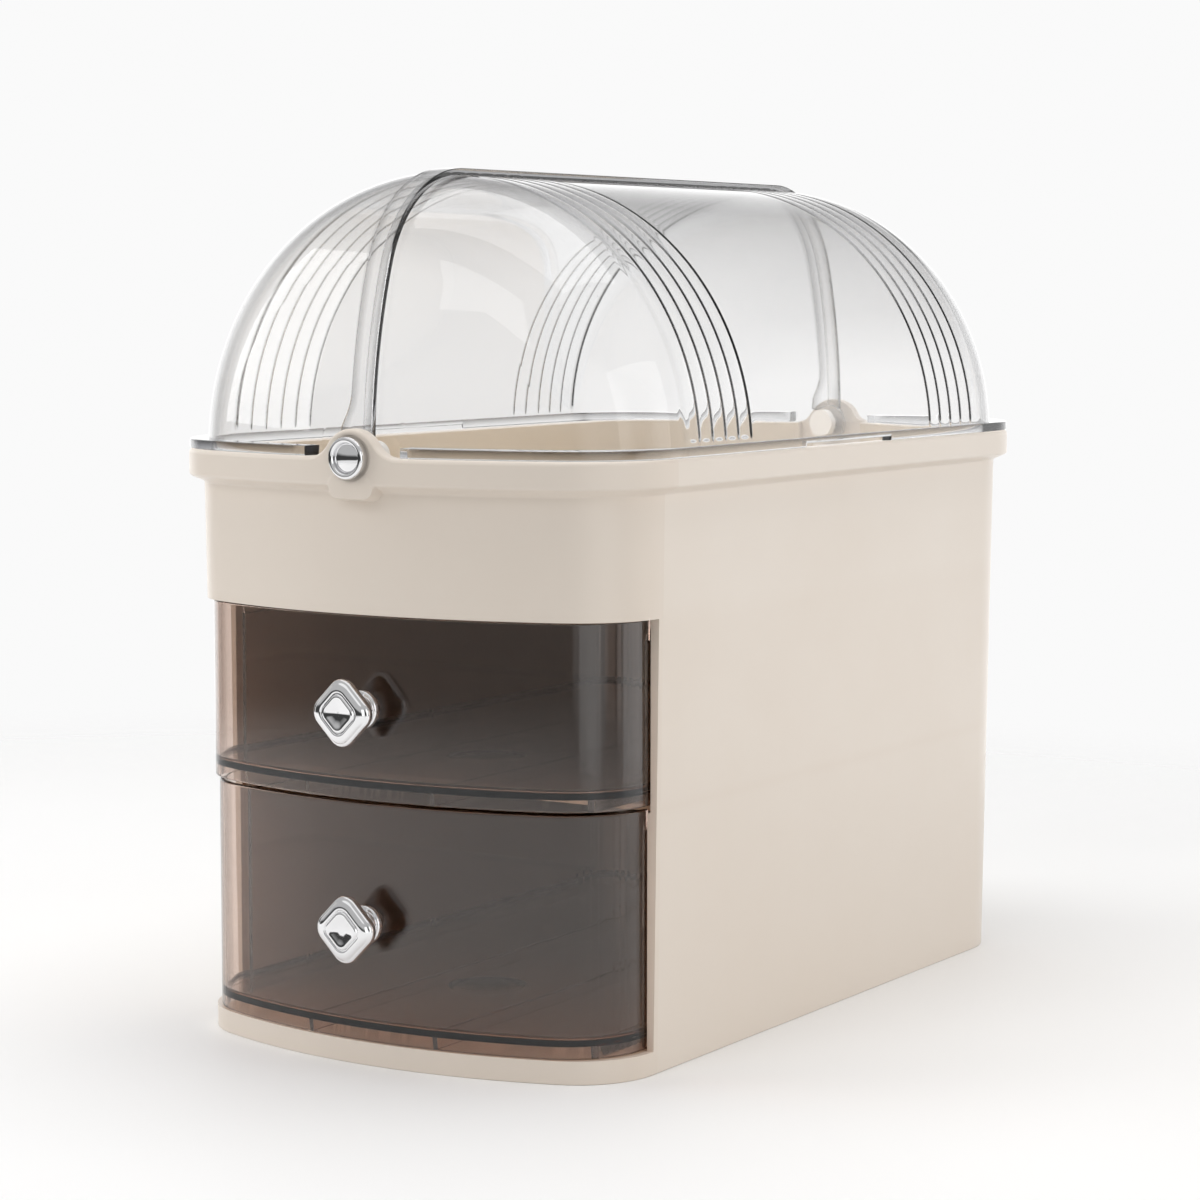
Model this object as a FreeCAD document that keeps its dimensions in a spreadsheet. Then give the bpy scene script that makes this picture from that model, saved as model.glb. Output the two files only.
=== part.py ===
import FreeCAD, Part
import math
import os
import re
import Sketcher

# Drawer storage box: bowed cabinet, two drawers, top tray and a dome of two swinging half lids.
# Millimetres. Origin on the floor under the middle of the cabinet, front towards -Y, +Z up.

SIZES = {
    # Cabinet outline at the floor
    "half_width": 86.1,
    "reach": 157.7,
    "bow_radius": 198.4,
    "corner_radius": 28.8,
    "draft_growth": 2.5,
    # Cabinet walls and the ledges that carry the loose floors
    "wall": 2.4,
    "ledge": 1.2,
    "foot_wall": 1.2,
    "floor_fit": 0.2,
    # Cabinet levels, and the rim measured down from its top
    "base_ledge": 5.3,
    "plinth_top": 7.8,
    "shelf_ledge": 85.9,
    "tray_ledge": 150.0,
    "band_drop": 1.0,
    "rim_top": 200.0,
    "rim_face": 9.0,
    "rim_flare": 2.3,
    "rim_growth": 7.6,
    # Pivot humps on the rim
    "hump_rise": 9.4,
    "hump_radius": 10.5,
    "hump_fillet": 10.0,
    "hump_plate": 4.7,
    "tab_half": 8.8,
    "tab_drop": 5.7,
    "tab_tall": 8.0,
    "tab_corner": 3.9,
    "ear_slot_half": 14.0,
    "ear_slot_depth": 9.0,
    # Loose floors
    "base_skin": 4.4,
    "base_rim": 3.6,
    "base_rib": 4.0,
    "base_rib_spacing": 45.0,
    "shelf_thick": 2.0,
    "shelf_setback": 3.9,
    "shelf_corner": 3.0,
    "tray_floor_thick": 2.0,
    # Drawers
    "side_gap": 0.5,
    "drawer_wall": 2.0,
    "drawer_front_wall": 2.4,
    "drawer_floor": 2.0,
    "drawer_skirt": 4.0,
    "drawer_rear_inset": 38.7,
    "drawer_rear_corner": 14.0,
    "front_depth": 3.0,
    "drawer_travel": 160.0,
    "runner_inset": 11.1,
    "runner_thick": 1.6,
    "floor_disc_radius": 13.0,
    "floor_disc_depth": 0.5,
    "floor_disc_inset": 69.7,
    "drawer_lift": 0.3,
    "front_gap": 1.2,
    "band_gap": 0.3,
    "lower_headroom": 5.9,
    "upper_headroom": 7.0,
    "lower_proud": 0.3,
    "upper_proud": 1.3,
    # Travel stops
    "stop_gap": 0.3,
    "stop_lug_half": 12.0,
    "stop_lug_high": 4.4,
    "stop_rib_half": 20.0,
    "stop_rib_thick": 3.0,
    "lower_stop_drop": 4.4,
    "upper_stop_drop": 5.5,
    # Knobs and their screws
    "knob_drop": 0.3,
    "seat_radius": 7.2,
    "seat_high": 0.3,
    "inner_seat_radius": 5.2,
    "inner_seat_high": 0.6,
    "knob_foot_radius": 6.4,
    "knob_foot_high": 1.8,
    "knob_neck_radius": 4.2,
    "knob_ring_radius": 1.1,
    "knob_ring_at": 3.6,
    "knob_back_at": 5.6,
    "knob_back_half": 5.2,
    "knob_back_corner": 3.4,
    "knob_band_at": 9.4,
    "knob_half": 9.3,
    "knob_corner": 4.5,
    "knob_face_at": 12.6,
    "knob_face_half": 7.5,
    "knob_face_corner": 3.4,
    "knob_length": 14.2,
    "knob_groove_half": 6.3,
    "knob_groove_wide": 1.1,
    "knob_groove_deep": 0.9,
    "knob_dish_radius": 12.0,
    "knob_dish_deep": 1.1,
    "screw_radius": 2.0,
    "screw_clearance": 0.05,
    "screw_bite": 8.0,
    "screw_head_radius": 3.8,
    "screw_head_high": 2.4,
    "screw_slot_wide": 0.9,
    "screw_slot_long": 4.4,
    "screw_slot_deep": 1.2,
    # Lids
    "lid_inset": 0.7,
    "lid_end_gap": 2.2,
    "lid_corner": 43.5,
    "lid_wall": 1.1,
    "lid_gap": 0.3,
    "lid_lift": 0.2,
    "flange_high": 3.3,
    "flange_inset": 0.3,
    "flange_start": 19.0,
    "finger_half": 28.0,
    "finger_high": 1.4,
    "flute_past": 1.22,
    "flute_pitch": 8.4,
    "flute_groove_radius": 0.8,
    "flute_groove_deep": 0.5,
    "strip_half": 4.4,
    "strip_proud": 1.0,
    "flare_radius": 12.5,
    "ear_radius": 7.0,
    "ear_thick": 2.5,
    # Pivot rivets
    "pin_radius": 3.0,
    "pin_clearance": 0.05,
    "pin_press": 0.02,
    "rivet_head_radius": 6.9,
    "rivet_head_high": 3.2,
    "rivet_edge_high": 1.1,
    "rivet_edge_wide": 0.9,
    "spot_radius": 7.3,
    "spot_deep": 0.3,
    "retainer_radius": 5.0,
    "retainer_thick": 3.6,
    "retainer_skin": 1.0,
}

GROOVES_PER_BAND = 6
RUNNERS = 4
OVERSHOOT = 5.0

# The flat cabinet sides end where the rounded corners begin
SIDE_END = (
    "reach - bow_radius"
    " + sqrt((bow_radius - corner_radius)^2 - (half_width - corner_radius)^2)"
)

# Levels of the front band, the rim's slope and face, and the humps
BAND_LOW = "tray_ledge - band_drop"
RIM_WALL_LOW = "rim_top - rim_face"
RIM_LOW = f"{RIM_WALL_LOW} - rim_flare"
HUMP_TOP = "rim_top + hump_rise"
HUMP_INSIDE = "reach + rim_growth - hump_plate"

# The drawers' flat rear, and the floor of the upper bay that the upper drawer runs on
DRAWER_REAR = "reach - drawer_rear_inset"
SHELF_TOP = "shelf_ledge + shelf_thick"

# The dome stands inside the rim and the humps; its straight stretch ends at the rounded corners
LID_RADIUS = "half_width + rim_growth - lid_inset"
LID_REACH = f"{HUMP_INSIDE} - lid_end_gap"
LID_SIDE_END = (
    f"{LID_REACH} - bow_radius"
    f" + sqrt((bow_radius - lid_corner)^2 - ({LID_RADIUS} - lid_corner)^2)"
)

# The inner face of the inner lid's ears, with a running gap, where the rivets are held
EARS_INSIDE = f"{LID_REACH} - 2 * lid_wall - 2 * lid_gap - ear_thick"

# The flange reaches into the lid's wall, halfway between the groove bottoms and the inner face
FLANGE_BITE = "(flute_groove_deep + lid_wall) / 2"

# A sketch or solid turned so that its own Z runs to the front, to the rear, or along X
TO_FRONT = FreeCAD.Rotation(FreeCAD.Vector(1, 0, 0), 90)
TO_REAR = FreeCAD.Rotation(FreeCAD.Vector(1, 0, 0), -90)
TO_RIGHT = FreeCAD.Rotation(FreeCAD.Vector(1, 1, 1), 120)

doc = FreeCAD.newDocument("storage_box")
sheet = doc.addObject("Spreadsheet::Sheet", "Sizes")
for row, (alias, size) in enumerate(SIZES.items(), start=1):
    sheet.set(f"A{row}", alias)
    sheet.set(f"B{row}", str(size))
    sheet.setAlias(f"B{row}", alias)
doc.recompute()


# Expressions


def bound(text):
    """Turn the size names in a formula into references to the sheet."""
    return re.sub(
        r"[a-z_]+",
        lambda word: f"Sizes.{word.group()}" if word.group() in SIZES else word.group(),
        text,
    )


def number(text):
    """Evaluate a formula of size names."""
    found = sheet.evalExpression(bound(text))
    return float(getattr(found, "Value", found))


def bind(item, **formulas):
    """Bind properties to formulas; double underscores stand for dots."""
    for name, formula in formulas.items():
        item.setExpression(name.replace("__", "."), bound(formula))


# Sketches


def add_dimension(sketch, kind, ends, formula):
    """Add one driving dimension bound to a formula."""
    index = sketch.addConstraint(Sketcher.Constraint(kind, *ends, number(formula)))
    sketch.setExpression(f"Constraints[{index}]", bound(formula))


def vector(x, y):
    """A point in a sketch."""
    return FreeCAD.Vector(x, y, 0)


def arc(centre, radius, start, stop):
    """A counter-clockwise arc between two angles in radians."""
    circle = Part.Circle(vector(*centre), FreeCAD.Vector(0, 0, 1), radius)
    return Part.ArcOfCircle(circle, start, stop)


def corner_joint(half, corner, reach, bow):
    """Corner centre height and the turn of the bow at its joint with the corner."""
    along = reach - bow + math.sqrt((bow - corner) ** 2 - (half - corner) ** 2)
    turn = math.atan2(half - corner, along - reach + bow)
    return along, turn


class End:
    """One end of an outline: a bow of a given radius, or flat where the bow is None."""

    def __init__(self, reach, corner, bow=None):
        self.reach = reach
        self.corner = corner
        self.bow = bow

    def joint(self, half):
        """Where the corner starts along the side, and the bow's half angle."""
        corner = number(self.corner)
        reach = number(self.reach)
        if self.bow is None:
            return reach - corner, None
        return corner_joint(number(half), corner, reach, number(self.bow))

    def reach_at(self, half, aside):
        """How far a bowed end reaches at a distance aside from the middle line."""
        corner_aside = f"({half}) - ({self.corner})"
        corner_along = (f"{self.reach} - ({self.bow})"
                        f" + sqrt((({self.bow}) - ({self.corner}))^2 - ({corner_aside})^2)")
        turn = self.joint(half)[1]
        if number(aside) < number(self.bow) * math.sin(turn):
            return f"{self.reach} - ({self.bow}) + sqrt(({self.bow})^2 - ({aside})^2)"
        return f"{corner_along} + sqrt(({self.corner})^2 - ({aside} - ({corner_aside}))^2)"

    def shift(self, amount):
        """The same end moved inwards, its curves kept concentric."""
        bow = None if self.bow is None else f"{self.bow} - ({amount})"
        return End(f"{self.reach} - ({amount})", f"{self.corner} - ({amount})", bow)


def end_curve(sketch, end, half, sign, first):
    """Add an end's bow or flat edge; sign is +1 for the rear and -1 for the front."""
    width = number(half)
    corner = number(end.corner)
    reach = number(end.reach)
    turn = end.joint(half)[1]
    if turn is None:
        start = vector(sign * (width - corner), sign * reach)
        stop = vector(-sign * (width - corner), sign * reach)
        sketch.addGeometry(Part.LineSegment(start, stop), False)
        sketch.addConstraint(Sketcher.Constraint("Horizontal", first))
        add_dimension(sketch, "DistanceY", (-1, 1, first, 1), f"{sign} * ({end.reach})")
        return
    bow = number(end.bow)
    middle = sign * math.pi / 2
    centre = (0, sign * (reach - bow))
    sketch.addGeometry(arc(centre, bow, middle - turn, middle + turn), False)
    sketch.addConstraint(Sketcher.Constraint("PointOnObject", first, 3, -2))
    add_dimension(sketch, "Radius", (first,), end.bow)
    add_dimension(sketch, "DistanceY", (-1, 1, first, 3), f"{sign} * ({end.reach} - ({end.bow}))")


def outline(sketch, half, front, rear):
    """Draw a closed outline: straight sides, rounded corners and two ends."""
    base = len(sketch.Geometry)
    width = number(half)
    right, rear_right, back, rear_left, left, front_left, face, front_right = range(base, base + 8)
    front_at, front_turn = front.joint(half)
    rear_at, rear_turn = rear.joint(half)
    front_turn = 0 if front_turn is None else front_turn
    rear_turn = 0 if rear_turn is None else rear_turn
    front_corner = number(front.corner)
    rear_corner = number(rear.corner)
    quarter = math.pi / 2

    sketch.addGeometry(Part.LineSegment(vector(width, -front_at), vector(width, rear_at)), False)
    centre = (width - rear_corner, rear_at)
    sketch.addGeometry(arc(centre, rear_corner, 0, quarter - rear_turn), False)
    end_curve(sketch, rear, half, 1, back)
    centre = (rear_corner - width, rear_at)
    sketch.addGeometry(arc(centre, rear_corner, quarter + rear_turn, 2 * quarter), False)
    sketch.addGeometry(Part.LineSegment(vector(-width, rear_at), vector(-width, -front_at)), False)
    centre = (front_corner - width, -front_at)
    sketch.addGeometry(arc(centre, front_corner, 2 * quarter, 3 * quarter - front_turn), False)
    end_curve(sketch, front, half, -1, face)
    centre = (width - front_corner, -front_at)
    sketch.addGeometry(arc(centre, front_corner, 3 * quarter + front_turn, 4 * quarter), False)

    ring = list(range(base, base + 8))
    for here, following in zip(ring, ring[1:] + ring[:1]):
        sketch.addConstraint(Sketcher.Constraint("Tangent", here, 2, following, 1))
    for side in (right, left):
        sketch.addConstraint(Sketcher.Constraint("Vertical", side))
    add_dimension(sketch, "DistanceX", (-1, 1, right, 1), half)
    add_dimension(sketch, "DistanceX", (left, 1, -1, 1), half)
    for corner in (rear_right, rear_left):
        add_dimension(sketch, "Radius", (corner,), rear.corner)
    for corner in (front_left, front_right):
        add_dimension(sketch, "Radius", (corner,), front.corner)


def bowed_outline(sketch, growth):
    """Draw the cabinet outline grown evenly by a formula."""
    end = End(f"reach + ({growth})", f"corner_radius + ({growth})", f"bow_radius + ({growth})")
    outline(sketch, f"half_width + ({growth})", end, end)


def polygon(sketch, points):
    """Draw a closed polygon whose corners are pairs of formulas."""
    base = len(sketch.Geometry)
    places = [vector(number(x), number(y)) for x, y in points]
    count = len(places)
    for index in range(count):
        following = places[(index + 1) % count]
        sketch.addGeometry(Part.LineSegment(places[index], following), False)
    for index, (x, y) in enumerate(points):
        following = base + (index + 1) % count
        sketch.addConstraint(Sketcher.Constraint("Coincident", base + index, 2, following, 1))
        add_dimension(sketch, "DistanceX", (-1, 1, base + index, 1), x)
        add_dimension(sketch, "DistanceY", (-1, 1, base + index, 1), y)


def rectangle(sketch, low_x, high_x, low_y, high_y):
    """Draw a rectangle between formulas."""
    polygon(sketch, [(low_x, low_y), (high_x, low_y), (high_x, high_y), (low_x, high_y)])


def disc(sketch, radius, y="0"):
    """Draw a circle on the sketch's vertical axis."""
    index = len(sketch.Geometry)
    centre = vector(0, number(y))
    sketch.addGeometry(Part.Circle(centre, FreeCAD.Vector(0, 0, 1), number(radius)), False)
    sketch.addConstraint(Sketcher.Constraint("PointOnObject", index, 3, -2))
    add_dimension(sketch, "DistanceY", (-1, 1, index, 3), y)
    add_dimension(sketch, "Radius", (index,), radius)


def above_humps(sketch):
    """Draw the space above the rim with the rounded hump and its two hollow feet left out."""
    top = number("rim_top")
    radius = number("hump_radius")
    fillet = number("hump_fillet")
    low = number(f"{HUMP_TOP} - hump_radius")
    foot = math.sqrt((radius + fillet) ** 2 - (top + fillet - low) ** 2)
    lean = math.atan2(top + fillet - low, foot)
    side = number("half_width + rim_growth") + OVERSHOOT
    high = number(HUMP_TOP) + OVERSHOOT
    quarter = math.pi / 2
    left_foot, crown, right_foot, right_rim, right_edge, lid, left_edge, left_rim = range(8)
    sketch.addGeometry(arc((-foot, top + fillet), fillet, 3 * quarter, 4 * quarter - lean), False)
    sketch.addGeometry(arc((0, low), radius, lean, 2 * quarter - lean), False)
    sketch.addGeometry(arc((foot, top + fillet), fillet, 2 * quarter + lean, 3 * quarter), False)
    corners = [(foot, top), (side, top), (side, high), (-side, high), (-side, top), (-foot, top)]
    for here, following in zip(corners, corners[1:]):
        sketch.addGeometry(Part.LineSegment(vector(*here), vector(*following)), False)
    tangents = [
        (left_foot, 2, crown, 2),
        (crown, 1, right_foot, 1),
        (right_foot, 2, right_rim, 1),
        (left_rim, 2, left_foot, 1),
    ]
    for ends in tangents:
        sketch.addConstraint(Sketcher.Constraint("Tangent", *ends))
    edges = [right_rim, right_edge, lid, left_edge, left_rim]
    for here, following in zip(edges, edges[1:]):
        sketch.addConstraint(Sketcher.Constraint("Coincident", here, 2, following, 1))
    for edge in (right_rim, lid, left_rim):
        sketch.addConstraint(Sketcher.Constraint("Horizontal", edge))
    for edge in (right_edge, left_edge):
        sketch.addConstraint(Sketcher.Constraint("Vertical", edge))
    sketch.addConstraint(Sketcher.Constraint("PointOnObject", crown, 3, -2))
    add_dimension(sketch, "DistanceY", (-1, 1, crown, 3), f"{HUMP_TOP} - hump_radius")
    add_dimension(sketch, "Radius", (crown,), "hump_radius")
    for foot_arc in (left_foot, right_foot):
        add_dimension(sketch, "Radius", (foot_arc,), "hump_fillet")
    for edge in (right_rim, left_rim):
        add_dimension(sketch, "DistanceY", (-1, 1, edge, 1), "rim_top")
    spread = f"half_width + rim_growth + {OVERSHOOT}"
    add_dimension(sketch, "DistanceX", (-1, 1, right_edge, 1), spread)
    add_dimension(sketch, "DistanceX", (left_edge, 1, -1, 1), spread)
    add_dimension(sketch, "DistanceY", (-1, 1, lid, 1), f"{HUMP_TOP} + {OVERSHOOT}")


def dome_chain(sketch, radius, end):
    """Draw one line of the dome's half profile, axis to axis; return its first and last piece."""
    base = len(sketch.Geometry)
    front_bow, front_corner, top, rear_corner, rear_bow = range(base, base + 5)
    along, turn = end.joint(radius)
    high = number(radius)
    corner = number(end.corner)
    bow = number(end.bow)
    offset = number(end.reach) - bow
    half_turn = math.pi
    quarter = math.pi / 2
    lean = quarter - turn
    sketch.addGeometry(arc((-offset, 0), bow, half_turn - turn, half_turn), False)
    sketch.addGeometry(arc((-along, high - corner), corner, quarter, quarter + lean), False)
    sketch.addGeometry(Part.LineSegment(vector(-along, high), vector(along, high)), False)
    sketch.addGeometry(arc((along, high - corner), corner, turn, quarter), False)
    sketch.addGeometry(arc((offset, 0), bow, 0, turn), False)
    tangents = [
        (front_bow, 1, front_corner, 2),
        (front_corner, 1, top, 1),
        (top, 2, rear_corner, 2),
        (rear_corner, 1, rear_bow, 2),
    ]
    for ends in tangents:
        sketch.addConstraint(Sketcher.Constraint("Tangent", *ends))
    sketch.addConstraint(Sketcher.Constraint("Horizontal", top))
    add_dimension(sketch, "DistanceY", (-1, 1, top, 1), radius)
    for piece in (front_corner, rear_corner):
        add_dimension(sketch, "Radius", (piece,), end.corner)
    for piece, tip, sign in ((front_bow, 2, -1), (rear_bow, 1, 1)):
        sketch.addConstraint(Sketcher.Constraint("PointOnObject", piece, 3, -1))
        sketch.addConstraint(Sketcher.Constraint("PointOnObject", piece, tip, -1))
        add_dimension(sketch, "Radius", (piece,), end.bow)
        centre = f"{sign} * ({end.reach} - ({end.bow}))"
        add_dimension(sketch, "DistanceX", (-1, 1, piece, 3), centre)
    return front_bow, rear_bow


def dome_profile(name, growth, thickness):
    """A standing half profile of a lid: the outer line, the inner line and two closing edges."""
    sketch = doc.addObject("Sketcher::SketchObject", name)
    sketch.Placement = FreeCAD.Placement(FreeCAD.Vector(), TO_RIGHT)
    bind(sketch, Placement__Base__z="rim_top")
    end = End(LID_REACH, "lid_corner", "bow_radius").shift(f"-({growth})")
    outer = dome_chain(sketch, f"{LID_RADIUS} + ({growth})", end)
    inner = dome_chain(sketch, f"{LID_RADIUS} + ({growth}) - ({thickness})", end.shift(thickness))
    for out, into, tip in ((outer[0], inner[0], 2), (outer[1], inner[1], 1)):
        index = len(sketch.Geometry)
        start = sketch.getPoint(out, tip)
        stop = sketch.getPoint(into, tip)
        sketch.addGeometry(Part.LineSegment(start, stop), False)
        sketch.addConstraint(Sketcher.Constraint("Coincident", index, 1, out, tip))
        sketch.addConstraint(Sketcher.Constraint("Coincident", index, 2, into, tip))
    return sketch


# Features in bodies


def new_body(name):
    """An empty body that becomes one sub-part."""
    return doc.addObject("PartDesign::Body", name)


def sketch_on(body, name, plane, level="0", shift="0"):
    """A sketch on one of the body's own planes, raised along the plane's normal."""
    sketch = body.newObject("Sketcher::SketchObject", f"{body.Name}_{name}")
    planes = {item.Role: item for item in body.Origin.OriginFeatures}
    sketch.AttachmentSupport = (planes[plane], [""])
    sketch.MapMode = "FlatFace"
    bind(sketch, AttachmentOffset__Base__z=level, AttachmentOffset__Base__y=shift)
    return sketch


def feature(body, kind, sketch, length=None, backwards=False):
    """A pad or pocket of a sketch; without a length it runs right through on both sides."""
    item = body.newObject(f"PartDesign::{kind}", sketch.Name.replace("_sketch", "") + f"_{kind}")
    item.Profile = sketch
    item.Reversed = backwards
    if length is None:
        item.Type = "ThroughAll"
        item.SideType = "Symmetric"
    else:
        bind(item, Length=length)
    sketch.Visibility = False
    return item


def raised(body, name, low, high, draw):
    """Pad between two levels."""
    sketch = sketch_on(body, name, "XY_Plane", low)
    draw(sketch)
    return feature(body, "Pad", sketch, f"{high} - ({low})")


def sunk(body, name, high, low, draw):
    """Pocket from an upper level down to a lower one."""
    sketch = sketch_on(body, name, "XY_Plane", high)
    draw(sketch)
    return feature(body, "Pocket", sketch, f"{high} - ({low})")


def outward(body, name, distance, depth, height, draw, sign=1, kind="Pad"):
    """Pad or pocket from a standing plane at a distance, inwards; sign +1 front, -1 rear."""
    sketch = sketch_on(body, name, "XZ_Plane", f"{sign} * ({distance})", height)
    draw(sketch)
    inwards = (sign > 0) == (kind == "Pad")
    return feature(body, kind, sketch, depth, inwards)


# Solids outside bodies


def primitive(kind, name, base, turn=None, **formulas):
    """A Part primitive with bound sizes and a bound place."""
    item = doc.addObject(f"Part::{kind}", name)
    if turn is not None:
        item.Placement = FreeCAD.Placement(FreeCAD.Vector(), turn)
    for axis, formula in zip("xyz", base):
        item.setExpression(f"Placement.Base.{axis}", bound(formula))
    bind(item, **formulas)
    return item


def extruded(name, sketch, length, taper="0", symmetric=False):
    """A solid drawn out along a sketch's normal."""
    item = doc.addObject("Part::Extrusion", name)
    item.Base = sketch
    item.DirMode = "Normal"
    item.Solid = True
    item.Symmetric = symmetric
    bind(item, LengthFwd=length, TaperAngle=taper)
    return item


def joined(name, items):
    """One solid from several."""
    item = doc.addObject("Part::MultiFuse", name)
    item.Shapes = items
    item.Refine = True
    return item


def removed(name, item, tool):
    """A solid less another."""
    result = doc.addObject("Part::Cut", name)
    result.Base = item
    result.Tool = tool
    result.Refine = True
    return result


def shared(name, items):
    """The space that solids have in common."""
    result = doc.addObject("Part::MultiCommon", name)
    result.Shapes = items
    return result


def grouped(name, items):
    """Several separate solids handled together."""
    result = doc.addObject("Part::Compound", name)
    result.Links = items
    return result


# Cabinet


def make_cabinet_shell():
    """Walls, rim and humps, hollowed in steps so that each loose floor has a ledge."""
    body = new_body("cabinet_shell")
    above = f"{HUMP_TOP} + {OVERSHOOT}"

    walls = raised(body, "walls", "0", RIM_LOW, lambda s: bowed_outline(s, "0"))
    bind(walls, TaperAngle=f"atan(draft_growth / ({RIM_LOW}))")
    flare = raised(body, "rim_flare", RIM_LOW, RIM_WALL_LOW,
                   lambda s: bowed_outline(s, "draft_growth"))
    bind(flare, TaperAngle="atan((rim_growth - draft_growth) / rim_flare)")
    raised(body, "rim", RIM_WALL_LOW, HUMP_TOP, lambda s: bowed_outline(s, "rim_growth"))

    tab_end = End("tab_tall / 2", "tab_corner")
    for sign, name in ((1, "front_tab"), (-1, "rear_tab")):
        outward(body, name, "reach + rim_growth - floor_fit", "rim_growth",
                "rim_top - tab_drop - tab_tall / 2",
                lambda s: outline(s, "tab_half", tab_end, tab_end), sign)

    hump_sketch = sketch_on(body, "humps", "XZ_Plane")
    above_humps(hump_sketch)
    feature(body, "Pocket", hump_sketch)

    sunk(body, "tray", above, "tray_ledge", lambda s: bowed_outline(s, "2 * ledge - wall"))
    sunk(body, "upper_bay", "tray_ledge", "shelf_ledge", lambda s: bowed_outline(s, "ledge - wall"))
    sunk(body, "lower_bay", "shelf_ledge", "base_ledge", lambda s: bowed_outline(s, "-wall"))
    sunk(body, "foot", "base_ledge", "0", lambda s: bowed_outline(s, "-foot_wall"))
    sunk(body, "front_opening", BAND_LOW, "plinth_top", lambda s: rectangle(
        s, "-half_width * 2", "half_width * 2", "-reach * 2", f"-({SIDE_END})"))
    sunk(body, "hump_back", above, "rim_top", lambda s: rectangle(
        s, "-hump_radius * 4", "hump_radius * 4", f"-({HUMP_INSIDE})", HUMP_INSIDE))
    sunk(body, "ear_slots", above, "rim_top - ear_slot_depth", lambda s: rectangle(
        s, "-ear_slot_half", "ear_slot_half", f"-({HUMP_INSIDE})", HUMP_INSIDE))

    hole = sketch_on(body, "pin_holes", "XZ_Plane")
    disc(hole, "pin_radius + pin_clearance", "rim_top")
    feature(body, "Pocket", hole)
    for sign, name in ((1, "front_spot"), (-1, "rear_spot")):
        outward(body, name, f"reach + rim_growth + {OVERSHOOT}", f"{OVERSHOOT} + spot_deep",
                "rim_top", lambda s: disc(s, "spot_radius"), sign, "Pocket")
    return body


def make_base_plate():
    """Floor of the lower bay: a skin over a rim and ribs that stand on the ground."""
    body = new_body("base_plate")
    inside = "-(foot_wall + floor_fit)"
    raised(body, "flange", "0", "base_ledge", lambda s: bowed_outline(s, inside))
    raised(body, "skin", "base_ledge", "plinth_top",
           lambda s: bowed_outline(s, "-(wall + floor_fit)"))
    sunk(body, "hollow", "plinth_top - base_skin", "0",
         lambda s: bowed_outline(s, f"{inside} - base_rim"))
    run = "reach - wall - base_rim"
    for index in (-1, 0, 1):
        low = f"{index} * base_rib_spacing - base_rib / 2"
        high = f"{index} * base_rib_spacing + base_rib / 2"
        length = run if index == 0 else SIDE_END
        raised(body, f"rib_{index + 2}", "0", "plinth_top - base_skin",
               lambda s: rectangle(s, low, high, f"-({length})", length))
    return body


def stop_rib(body, under, drop):
    """A bar below a floor that meets the drawer's rear lug at full travel."""
    rear = f"{DRAWER_REAR} - drawer_wall - drawer_travel - stop_gap"
    raised(body, "stop", f"{under} - {drop}", under, lambda s: rectangle(
        s, "-stop_rib_half", "stop_rib_half", f"{rear} - stop_rib_thick", rear))


def make_middle_shelf():
    """Floor of the upper bay, on the ledge between the bays."""
    body = new_body("middle_shelf")
    growth = "ledge - wall - floor_fit"
    rear = End(f"reach + {growth}", f"corner_radius + {growth}", f"bow_radius + {growth}")
    front = End(f"{SIDE_END} - shelf_setback", "shelf_corner")
    raised(body, "panel", "shelf_ledge", SHELF_TOP,
           lambda s: outline(s, f"half_width + {growth}", front, rear))
    stop_rib(body, "shelf_ledge", "lower_stop_drop")
    return body


def make_tray_floor():
    """Floor of the top tray, on the ledge above the upper bay."""
    body = new_body("tray_floor")
    raised(body, "panel", "tray_ledge", "tray_ledge + tray_floor_thick",
           lambda s: bowed_outline(s, "2 * ledge - wall - floor_fit"))
    stop_rib(body, "tray_ledge", "upper_stop_drop")
    return body


# Drawers


class DrawerPlan:
    """Formulas of one drawer: half width, levels, how far its front reaches, and its knob's height."""

    def __init__(self, name, half, low, top, wall_top, reach):
        self.name = name
        self.half = half
        self.low = low
        self.top = top
        self.wall_top = wall_top
        self.reach = reach
        self.knob = f"({low} + {top}) / 2 - knob_drop"


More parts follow.
